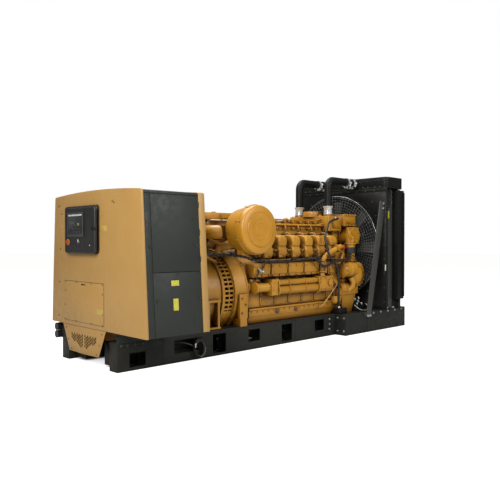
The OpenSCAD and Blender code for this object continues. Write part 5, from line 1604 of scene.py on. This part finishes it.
# %% Riser flanges, filter and accents
parts = []
for side in SIDES:
    parts += [
        turned([(0, 0.036), (0.002, 0.058), (0.016, 0.058), (0.018, 0.036)], at(3.23, side * 0.6, 0.905),
            (0, 0, 1), 24),
        turned([(0, 0.036), (0.002, 0.052), (0.016, 0.052), (0.018, 0.036)],
            at(3.236, side * 0.602, 1.06), (0, 0, 1), 24),
        turned([(-0.01, 0.036), (-0.008, 0.052), (0.008, 0.052), (0.01, 0.036)],
            at(3.56, side * 0.598, 1.235), (0.97, 0, 0.25), 24),
        turned([(0, 0.056), (0.012, 0.06), (0.15, 0.06), (0.165, 0.05), (0.172, 0.028)],
            at(3.3, side * 0.565, 0.89), (0, 0, 1), 28),
        block(at(3.395, side * 0.5, 0.86), at(3.56, side * 0.585, 1.03), 0.02, 3),
        block(at(3.42, side * 0.56, 0.885), at(3.53, side * 0.6, 1.0), 0.012, 3),
        pipe(side_route(side, (3.47, 0.56, 0.87), (3.48, 0.6, 0.8), (3.54, 0.61, 0.74),
            (3.64, 0.56, 0.69)), 0.022, 12, 7),
        pipe(side_route(side, (3.54, 0.575, 1.01), (3.64, 0.6, 1.04), (3.72, 0.58, 1.13),
            (3.8, 0.48, 1.17)), 0.018, 12, 7),
        block(at(3.62, side * 0.44, 1.06), at(3.84, side * 0.54, 1.18), 0.026, 3),
    ]
fit("front_flank_details", parts)
cap = turned([(0, 0.03), (0.004, 0.034), (0.038, 0.034), (0.044, 0.026)], at(3.914, -0.43, 1.239),
    (0, -1, 0.3), 20)
fit("red_cap", cap, stop_red)

# %% [markdown]
# ## Fan, belt pulleys and guard
#
# The fan has eight pressed blades on a round hub. Each blade is a flat sheet, cut into
# strips and twisted: steep at the root and flatter at the tip, because the tip moves faster.

# %% Fan blades and hub
fan_low, fan_high = low("fan"), high("fan")
fan_z = (fan_low.z + fan_high.z) / 2
fan_x = fan_high.x - 0.11
fan_r = fan_high.z - fan_z
bpy.ops.mesh.primitive_grid_add(x_subdivisions=6, y_subdivisions=12, size=1)
blade = settled()
root, tip_gap, root_pitch, pitch_lost = 0.112, 0.004, 52, 26
for corner in blade.data.vertices:
    along = corner.co.y + 0.5
    chord = 0.15 + 0.05 * along
    twist = math.radians(root_pitch - pitch_lost * along)
    across = corner.co.x * chord
    camber = 0.016 * (1 - (2 * corner.co.x) ** 2)
    corner.co = (math.cos(twist) * camber + math.sin(twist) * across * 0.55, math.cos(twist) * across
        - math.sin(twist) * camber, root + (fan_r - tip_gap - root) * along)
use(blade, "SOLIDIFY", thickness=0.006, offset=0)
middle = Vector((fan_x + 0.055, 0, fan_z))
turns = [Matrix.Translation(middle) @ Matrix.Rotation(a, 4, "X") for a in angles(8)]
blades = stamped(blade, turns)
hub = turned([(-0.048, 0.05), (-0.046, 0.112), (-0.03, 0.118), (0.03, 0.118), (0.046, 0.112),
    (0.048, 0.07), (0.054, 0.066)], middle, (1, 0, 0), 48)
rivets = stamped(bolt(0.022),
    [seat(middle + Vector((-0.046, 0.088 * math.sin(a), 0.088 * math.cos(a))), (-1, 0, 0))
    for a in angles(8)])
pulley_start = low("crank_pulley").x


def grooved(radius, centre):
    """A pulley with three belt grooves in a rim 40 mm wide."""
    steps = [(0, radius * 0.55), (0.001, radius)]
    for groove in (0.006, 0.018, 0.03):
        steps += [(groove - 0.003, radius), (groove, radius - 0.01), (groove + 0.004, radius - 0.01),
            (groove + 0.006, radius)]
    return turned(steps + [(0.039, radius), (0.04, radius * 0.5)], centre, (1, 0, 0), 64)


belt_x = low("fan_belt").x
pulley_r = 0.14
shaft = bar((fan_low.x, 0, fan_z), middle, 0.03, 24)
fan_pulley = grooved(pulley_r, Vector((belt_x - 0.006, 0, fan_z)))
fit("fan_wheel", [blades, hub, rivets, shaft, fan_pulley], post_enamel, "fan",
    stands_for=["fan"])

# %% [markdown]
# The guard is a spider of wire. Ninety radial wires lie on fifteen hoops, and a heavy rim
# with stays holds the basket to the shroud.

# %% Wire guard
guard_low, guard_high = low("fan_guard"), high("fan_guard")
guard_x, guard_r = guard_low.x, (guard_high.z - guard_low.z) / 2


def hoop(radius, thick, x, steps=96, sides=6):
    """A hoop of round wire about the fan's axis."""
    bpy.ops.mesh.primitive_torus_add(major_segments=steps, minor_segments=sides, major_radius=radius,
        minor_radius=thick, location=(x, 0, fan_z), rotation=(0, math.pi / 2, 0))
    return settled()


wires = []
spoke = bar((guard_x + 0.004, 0, 0.176), (guard_x + 0.004, 0, guard_r - 0.004), 0.002, 6, 0.0004)
wires.append(stamped(spoke, [Matrix.Translation((0, 0, fan_z)) @ Matrix.Rotation(a, 4, "X")
    for a in angles(90)]))
inner, outer, last = 0.19, guard_r - 0.03, 14
wires += [hoop(inner + (outer - inner) * k / last, 0.0019, guard_x + 0.001) for k in range(last + 1)]
fit("guard_wires", wires, wire_lacquer, stands_for=["fan_guard"])
# The rim's lighter finish is a painted highlight.
fit("guard_rim", hoop(guard_r - 0.0052, 0.005, guard_x + 0.004, 128, 10), rim_highlight_wire)
rims = [hoop(guard_r - 0.0066, 0.0045, guard_high.x - 0.005, 128, 8)]
stay = bar((guard_x + 0.004, 0, guard_r - 0.006), (guard_high.x - 0.001, 0, guard_r - 0.006), 0.0035, 8,
    0.0006)
rims.append(stamped(stay, [Matrix.Translation((0, 0, fan_z)) @ Matrix.Rotation(a, 4, "X")
    for a in angles(36)]))
rims += [hoop(guard_r - 0.005, 0.0018, guard_x + 0.02 + 0.026 * k) for k in range(5)]
fit("guard_stays", rims, radiator_enamel)

# %% Crank pulley
crank = [
    grooved(pulley_r, Vector((belt_x - 0.006, 0, shaft_z))),
    turned([(0, 0.06), (0.02, 0.06), (0.022, 0.052)], (pulley_start, 0, shaft_z), (1, 0, 0)),
    bar((pulley_start, 0, shaft_z), (belt_x, 0, shaft_z), 0.052, 28),
    turned([(0, 0.086), (0.01, 0.086), (0.014, 0.07)], (belt_x + 0.03, 0, shaft_z), (1, 0, 0)),
]
fit("crank_pulley_grooved", crank, radiator_enamel, stands_for=["crank_pulley"])

# %% [markdown]
# ## Shroud, tank and posts
#
# The shroud's face is one sheet with a rolled ring round the fan, folded edges and bolts.
# The tank on top is soldered: a raised seam runs round it, and a filler neck, two upright
# seams and two hose flanges are fixed to it.

# %% Shroud ring, folds and bolts
shroud_low, shroud_high = low("fan_shroud"), high("fan_shroud")
half_width = shroud_high.y
parts = [hoop(radius, thick, shroud_low.x - 0.001, 112, 10)
    for radius, thick in ((0.752, 0.008), (0.775, 0.004))]
for side in SIDES:
    parts += [
        block((shroud_low.x - 0.016, side * (half_width - 0.006), skid_top + 0.01),
            (shroud_low.x + 0.002, side * half_width, shroud_high.z - 0.01), 0.002),
        block((shroud_low.x - 0.006, side * 0.02, shroud_high.z - 0.05),
            (shroud_low.x, side * half_width, shroud_high.z - 0.012), 0.002),
        block((shroud_low.x - 0.006, side * 0.02, skid_top + 0.02),
            (shroud_low.x, side * half_width, skid_top + 0.06), 0.002),
    ]
    for x in (4.5, 4.6):
        parts.append(block(at(x, side * (low("radiator_columns").y * -1 - 0.03), skid_top + 0.02),
            at(x + 0.02, side * (low("radiator_columns").y * -1 - 0.01), shroud_high.z - 0.02), 0.002))
fit("shroud_folds", parts, radiator_enamel)
spots = [seat((shroud_low.x, side * y, z), (-1, 0, 0)) for side in SIDES
    for y, z in [(half_width - 0.045, skid_top + 0.12 + 0.215 * k) for k in range(9)]
    + [(0.15 + 0.16 * k, shroud_high.z - 0.031) for k in range(4)] + [(0.6, 1.93), (0.66, 1.72),
    (0.66, 0.8), (0.52, 0.56)]]
bolts("shroud_bolts", 0.02, spots, post_enamel)

# %% Radiator side frames and foot bolts
frame_low, frame_high = low("radiator_frame"), high("radiator_frame")
column_low, column_high = low("radiator_columns"), high("radiator_columns")
parts, spots = [], []
for side in SIDES:
    out = frame_high.y
    parts += [
        block((frame_low.x + 0.01, side * (out - 0.01), skid_top + 0.18),
            (frame_low.x + 0.03, side * (out + 0.018), 2.08), 0.003),
        block((frame_high.x - 0.03, side * (out - 0.01), skid_top + 0.18),
            (frame_high.x - 0.005, side * (out + 0.018), 2.08), 0.003),
        block((column_low.x - 0.03, side * (column_high.y - 0.085), skid_top),
            (column_high.x + 0.06, side * (column_high.y + 0.012), skid_top + 0.014), 0.003),
    ]
    for z in (0.52, 0.98, 1.44, 1.9):
        parts.append(block((column_high.x - 0.01, side * (column_high.y - 0.06), z),
            (frame_low.x + 0.02, side * (column_high.y - 0.03), z + 0.036), 0.003))
    spots += [seat((x, side * (column_high.y - 0.004), skid_top + 0.014))
        for x in (column_low.x - 0.014, column_high.x + 0.02, column_high.x + 0.045)]
    spots += [seat((column_low.x, side * (column_high.y - 0.035), z), (-1, 0, 0))
        for z in (0.5, 1.2, 1.88, 2.04)]
fit("radiator_side_frames", parts, radiator_enamel)
bolts("column_bolts", 0.03, spots, zinc)

# %% Tank seams, neck and flanges
hose_y, hose_r = 0.28, 0.057
coolant_z = high("coolant_pipes").z - hose_r
tank_low, tank_high = low("top_tank"), high("top_tank")
tank_half, tank_start = tank_high.y, tank_low.x
parts = []
corner = 0.08
quarter = [math.radians(15 * k) for k in range(1, 6)]
for z, deep in ((tank_low.z + 0.01, 0.014), (tank_high.z - 0.056, 0.01)):
    outline = [Vector((tank_start + 0.4, -tank_half, z)), Vector((tank_start + corner, -tank_half, z))]
    outline += [Vector((tank_start + corner - corner * math.sin(a),
        -tank_half + corner - corner * math.cos(a), z)) for a in quarter]
    outline += [Vector((tank_start, -tank_half + corner, z)), Vector((tank_start, tank_half - corner, z))]
    outline += [Vector((tank_start + corner - corner * math.cos(a),
        tank_half - corner + corner * math.sin(a), z)) for a in quarter]
    outline += [Vector((tank_start + corner, tank_half, z)), Vector((tank_start + 0.4, tank_half, z))]
    for start, end in zip(outline, outline[1:]):
        if (end - start).length > 0.004:
            parts.append(bar(start, end, deep / 2, 10, 0.001))
parts.append(turned([(0, 0.052), (0.01, 0.052), (0.012, 0.04), (0.018, 0.038)],
    (tank_start + 0.3, 0.45, tank_high.z - 0.02), (0, 0, 1), 28))
for side in SIDES:
    parts += [
        block((tank_start - 0.004, side * 0.56, tank_low.z + 0.04),
            (tank_start + 0.004, side * 0.585, tank_high.z - 0.07), 0.002),
        turned([(0, 0.058), (0.002, 0.064), (0.014, 0.065), (0.016, 0.058)],
            (tank_start - 0.016, side * 0.28, coolant_z), (1, 0, 0), 36),
    ]
fit("tank_seams", parts, radiator_enamel)
spots = [seat((tank_start, side * y, z), (-1, 0, 0)) for side in SIDES for y in (0.43, 0.52, 0.64, 0.73)
    for z in (tank_low.z + 0.024,)]
bolts("tank_bolts", 0.022, spots, post_enamel)

# %% [markdown]
# ## Coolant hoses and clamps
#
# Two pipes rise from the regulator housing to the tank. A flared steel sleeve joins each to
# the housing, and near the tank two clamps with T-bolts hold each hose.

# %% Sleeves and clamps
hose_x = low("coolant_pipes").x + hose_r
sleeve_z = 1.7
parts = []
for side in SIDES:
    foot = Vector((hose_x, side * hose_y, sleeve_z))
    parts.append(turned([(0, 0.062), (0.001, 0.07), (0.012, 0.071), (0.016, 0.063), (0.08, 0.059),
        (0.118, 0.061), (0.134, 0.068), (0.14, 0.074), (0.15, 0.075), (0.152, 0.069), (0.152, 0.058)],
        foot, (0, 0, 1), 48))
    for z in (0.03, 0.066):
        parts.append(band(0.062, 0.066, 0.012, foot + Vector((0, 0, z)), (0, 0, 1), 40))
    parts.append(bar(foot + Vector((-0.02, side * 0.068, 0.036)),
        foot + Vector((0.03, side * 0.068, 0.036)), 0.006, 10))
    for back in (0.1, 0.235):
        ring = Vector((tank_start - back, side * hose_y, coolant_z))
        parts.append(band(0.0575, 0.065, 0.028, ring, (1, 0, 0), 40))
        for turn in (25, 100, 165):
            lug_way = Vector((0, side * math.cos(math.radians(turn)), -math.sin(math.radians(turn))))
            across = Vector((0, side * math.sin(math.radians(turn)), math.cos(math.radians(turn))))
            lug = ring + Vector((0.014, 0, 0)) + lug_way * 0.082
            parts.append(bar(lug - across * 0.04, lug + across * 0.04, 0.0065, 10))
            for end in (-0.024, 0.016):
                parts += [
                    bar(lug + across * end, lug + across * (end + 0.012), 0.013, 10),
                    bar(lug + across * end - lug_way * 0.02, lug + across * end + lug_way * 0.002, 0.009,
                        8),
                ]
# The sleeves and clamps are near white, a painted highlight.
fit("hose_clamps", parts, clamp_steel, stands_for=["pipe_clamps"])
collars = []
for side in SIDES:
    for back, long in ((0.26, 0.02), (0.06, 0.05)):
        collars.append(turned([(0, 0.0572), (0.004, 0.062), (long - 0.004, 0.062), (long, 0.0572)],
            (tank_start - back, side * hose_y, coolant_z), (1, 0, 0), 36))
fit("hose_collars", collars, hose_rubber)

# %% [markdown]
# On each post a vent hose with fittings comes down from the tank. The post carries a blank
# lime tag, and the shroud carries a small bright plate. Bolts hold the brace at both ends.

# %% Vent hose, tags and brace bolts
post_front = column_low.x
vent = []
for side in SIDES:
    out = side * (column_high.y + 0.014)
    vent += [
        pipe([(post_front + 0.02, side * (column_high.y - 0.03), 2.16), (post_front + 0.01, out, 2.12),
            (post_front + 0.022, out, 2.04), (post_front + 0.018, out, 1.9)], 0.014, 10, 8),
        pipe([(post_front + 0.06, out, 2.1), (post_front + 0.068, out, 1.98),
            (post_front + 0.05, out, 1.86)], 0.011, 10, 8),
    ]
fit("vent_hoses", vent, hose_rubber)
parts = []
for side in SIDES:
    for z in (2.11, 2.02, 1.9, 1.86):
        parts.append(band(0.019, 0.024, 0.012, (post_front + 0.026, side * (column_high.y + 0.012), z),
            (0, 0, 1), 14))
fit("vent_fittings", parts, post_enamel)
lime = [block((post_front - 0.004, side * (column_high.y - 0.03), 1.68),
    (post_front + 0.03, side * (column_high.y + 0.003), 1.79), 0.002) for side in SIDES]
fit("post_tags", lime, lime_label)
plate = [block((shroud_low.x - 0.003, side * (half_width - 0.035), 0.89),
    (shroud_low.x, side * (half_width - 0.012), 0.98), 0.001) for side in SIDES]
fit("shroud_data_plates", plate, white_tag)
brace_low, brace_high = low("radiator_braces"), high("radiator_braces")
spots = [seat((brace_low.x + dx, side * brace_high.y, brace_low.z + 0.022), (0, side, 0))
    for side in SIDES for dx in (0.03, 0.085)]
spots += [seat((shroud_low.x - 0.03 - dz * 0.19, side * brace_high.y, 1.895 - dz), (0, side, 0))
    for side in SIDES for dz in (0.0, 0.07)]
bolts("brace_bolts", 0.034, spots, zinc)

# %% [markdown]
# ## Loom, hose and small lines
#
# The main loom leaves the terminal box, lies along the engine and ends at the water pump.
# It is a bundle: three conduits twisted a little about one route, with ties and connectors.

# %% Main loom
loom_start = low("wiring_harness").x - skid_end
loom_route = [(0.0, 0.625, 1.192), (0.15, 0.605, 1.196), (0.45, 0.59, 1.188), (0.75, 0.592, 1.172),
    (0.95, 0.596, 1.156), (1.09, 0.6, 1.14), (1.2, 0.6, 1.106), (1.35, 0.6, 1.086), (1.65, 0.604, 1.078),
    (2.0, 0.612, 1.084), (2.2, 0.64, 1.098), (2.33, 0.66, 1.103), (2.4, 0.672, 1.052),
    (2.46, 0.68, 1.002), (2.52, 0.68, 0.992), (2.58, 0.68, 0.996), (2.66, 0.672, 1.02),
    (2.75, 0.66, 1.041), (2.9, 0.64, 1.062), (3.05, 0.61, 1.07), (3.2, 0.562, 1.077), (3.28, 0.53, 1.11),
    (3.34, 0.5, 1.182)]
strands, ties = [], []
for side in SIDES:
    for strand in range(3):
        points = []
        for k, (x, y, z) in enumerate(loom_route):
            turn = 2.1 * strand + 0.9 * k
            points.append(at(loom_start + x, side * (y + 0.008 * math.cos(turn)),
                z + 0.008 * math.sin(turn)))
        strands.append(pipe(points, 0.0085, 8, 6))
    for k, (x, y, z) in enumerate(loom_route[1:-1]):
        for offset in (0.0, 0.5):
            nx, ny, nz = loom_route[k + 2]
            spot = at(loom_start + x + (nx - x) * offset, side * (y + (ny - y) * offset),
                z + (nz - z) * offset)
            way = Vector((nx - x, side * (ny - y), nz - z)).normalized()
            ties.append(bar(spot - way * 0.006, spot + way * 0.006, 0.0175 if offset else 0.0195, 12,
                0.001))
fit("main_loom", strands, conduit, stands_for=["wiring_harness"])
fit("loom_ties", ties, nylon)

# %% [markdown]
# Branches drop from the loom to the sensors. The one at the front of the engine ends in a
# bright sensor on the first camshaft cover; others reach the regulator and the oil cooler.

# %% Branches, connectors and sensors
parts, plugs, bright = [], [], []
for side in SIDES:
    parts += [
        pipe(side_route(side, (2.07, 0.606, 1.13), (2.085, 0.622, 1.075), (2.07, 0.626, 1.02),
            (2.035, 0.624, 0.985)), 0.008, 8, 6),
        pipe(side_route(side, (1.99, 0.622, 0.96), (1.955, 0.622, 0.915), (1.945, 0.618, 0.87),
            (1.93, 0.58, 0.84)), 0.007, 8, 6),
        pipe(side_route(side, (3.56, 0.676, 1.066), (3.61, 0.65, 1.01), (3.64, 0.6, 0.93),
            (3.64, 0.56, 0.86)), 0.008, 8, 6),
        pipe(side_route(side, (3.13, 0.62, 1.08), (3.15, 0.6, 1.15), (3.18, 0.56, 1.19)), 0.008, 8, 6),
        pipe(side_route(side, (3.96, 0.545, 1.14), (4.02, 0.56, 1.12), (4.06, 0.58, 1.06),
            (4.07, 0.575, 0.99)), 0.008, 8, 6),
    ]
    for spot in ((3.11, 0.625, 1.098), (2.58, 0.624, 1.092), (3.02, 0.628, 1.092), (1.52, 0.612, 1.18),
        (1.9, 0.614, 1.158)):
        x, y, z = spot
        plugs.append(block(at(x, side * (y - 0.016), z - 0.016),
            at(x + 0.062, side * (y + 0.016), z + 0.018), 0.005))
    bright += [
        bar(at(2.005, side * 0.6, 0.962), at(2.005, side * 0.64, 0.962), 0.02, 18, 0.003),
        bar(at(2.03, side * 0.604, 0.975), at(2.055, side * 0.634, 0.945), 0.012, 14, 0.003),
        bar(at(1.985, side * 0.606, 0.985), at(1.985, side * 0.628, 0.985), 0.012, 14, 0.003),
    ]
fit("loom_branches", parts, conduit)
fit("loom_plugs", plugs, nylon)
fit("bright_sensors", bright, zinc)

# %% [markdown]
# The breather hose leaves the regulator housing, hangs in front of the heads and goes down
# into the skid. An enamelled drain tube bends beside it, and a bright sleeve holds each end.

# %% Breather hose and drain tube
hose_route = [(3.8, 0.386, 1.672), (3.8, 0.412, 1.672), (3.772, 0.462, 1.664), (3.64, 0.49, 1.64),
    (3.5, 0.52, 1.6), (3.38, 0.58, 1.52), (3.27, 0.63, 1.38), (3.262, 0.664, 1.27), (3.29, 0.67, 1.17),
    (3.4, 0.664, 1.06), (3.5, 0.645, 0.98), (3.56, 0.632, 0.862), (3.579, 0.63, 0.74),
    (3.579, 0.63, 0.64), (3.59, 0.62, 0.5), (3.623, 0.6, 0.388)]
hose = pipe([at(x, RIGHT * y, z) for x, y, z in hose_route], 0.015, 16, 8)
fit("breather_hose_run", hose, hose_rubber, stands_for=["breather_hose"])
elbow = [bar(at(3.8, RIGHT * 0.38, 1.672), at(3.8, RIGHT * 0.42, 1.672), 0.021, 20, 0.003),
    bar(at(3.623, RIGHT * 0.6, skid_top + 0.07), at(3.623, RIGHT * 0.6, skid_top + 0.1), 0.022, 20,
    0.004)]
fit("breather_hose_ends", elbow, zinc)
drain = [pipe(side_route(side, (3.62, 0.57, 0.84), (3.604, 0.602, 0.78), (3.56, 0.608, 0.722),
    (3.48, 0.606, 0.645), (3.39, 0.604, 0.56), (3.3, 0.602, 0.485), (3.235, 0.6, 0.44),
    (3.19, 0.58, 0.424)), 0.01, 10, 8) for side in SIDES]
fit("drain_tubes", drain)

# %% [markdown]
# Behind the outrigger sit a few bright unions of the fuel lines on a dark filter base, and
# one light cable hangs in a loop below them.

# %% Fuel unions, filter base and cable loop
bright, dark = [], []
for side in SIDES:
    for x, y, z in ((4.06, 0.56, 0.47), (4.11, 0.585, 0.435), (4.18, 0.59, 0.4), (4.15, 0.56, 0.48),
        (4.07, 0.59, 0.4)):
        bright += [
            bar(at(x, side * y, z - 0.016), at(x, side * y, z + 0.018), 0.014, 14, 0.003),
            turned([(0, 0.021), (0.014, 0.021)], at(x, side * y, z - 0.006), (0, 0, 1), 6),
        ]
    dark += [
        block(at(4.03, side * 0.5, skid_top), at(4.24, side * 0.6, 0.4), 0.012, 3),
        block(at(4.06, side * 0.47, 0.38), at(4.2, side * 0.56, 0.5), 0.016, 3),
        block(at(3.56, side * 0.54, skid_top), at(3.74, side * 0.66, skid_top + 0.078), 0.012, 3),
    ]
fit("fuel_unions", bright, zinc)
fit("filter_base", dark, radiator_enamel)
loops = [pipe(side_route(side, (3.94, 0.64, 0.4), (3.985, 0.69, 0.342), (4.06, 0.716, 0.318),
    (4.15, 0.716, 0.326), (4.21, 0.69, 0.356), (4.22, 0.64, 0.4)), 0.0055, 8, 8) for side in SIDES]
fit("light_cable_loops", loops, grey_cable)
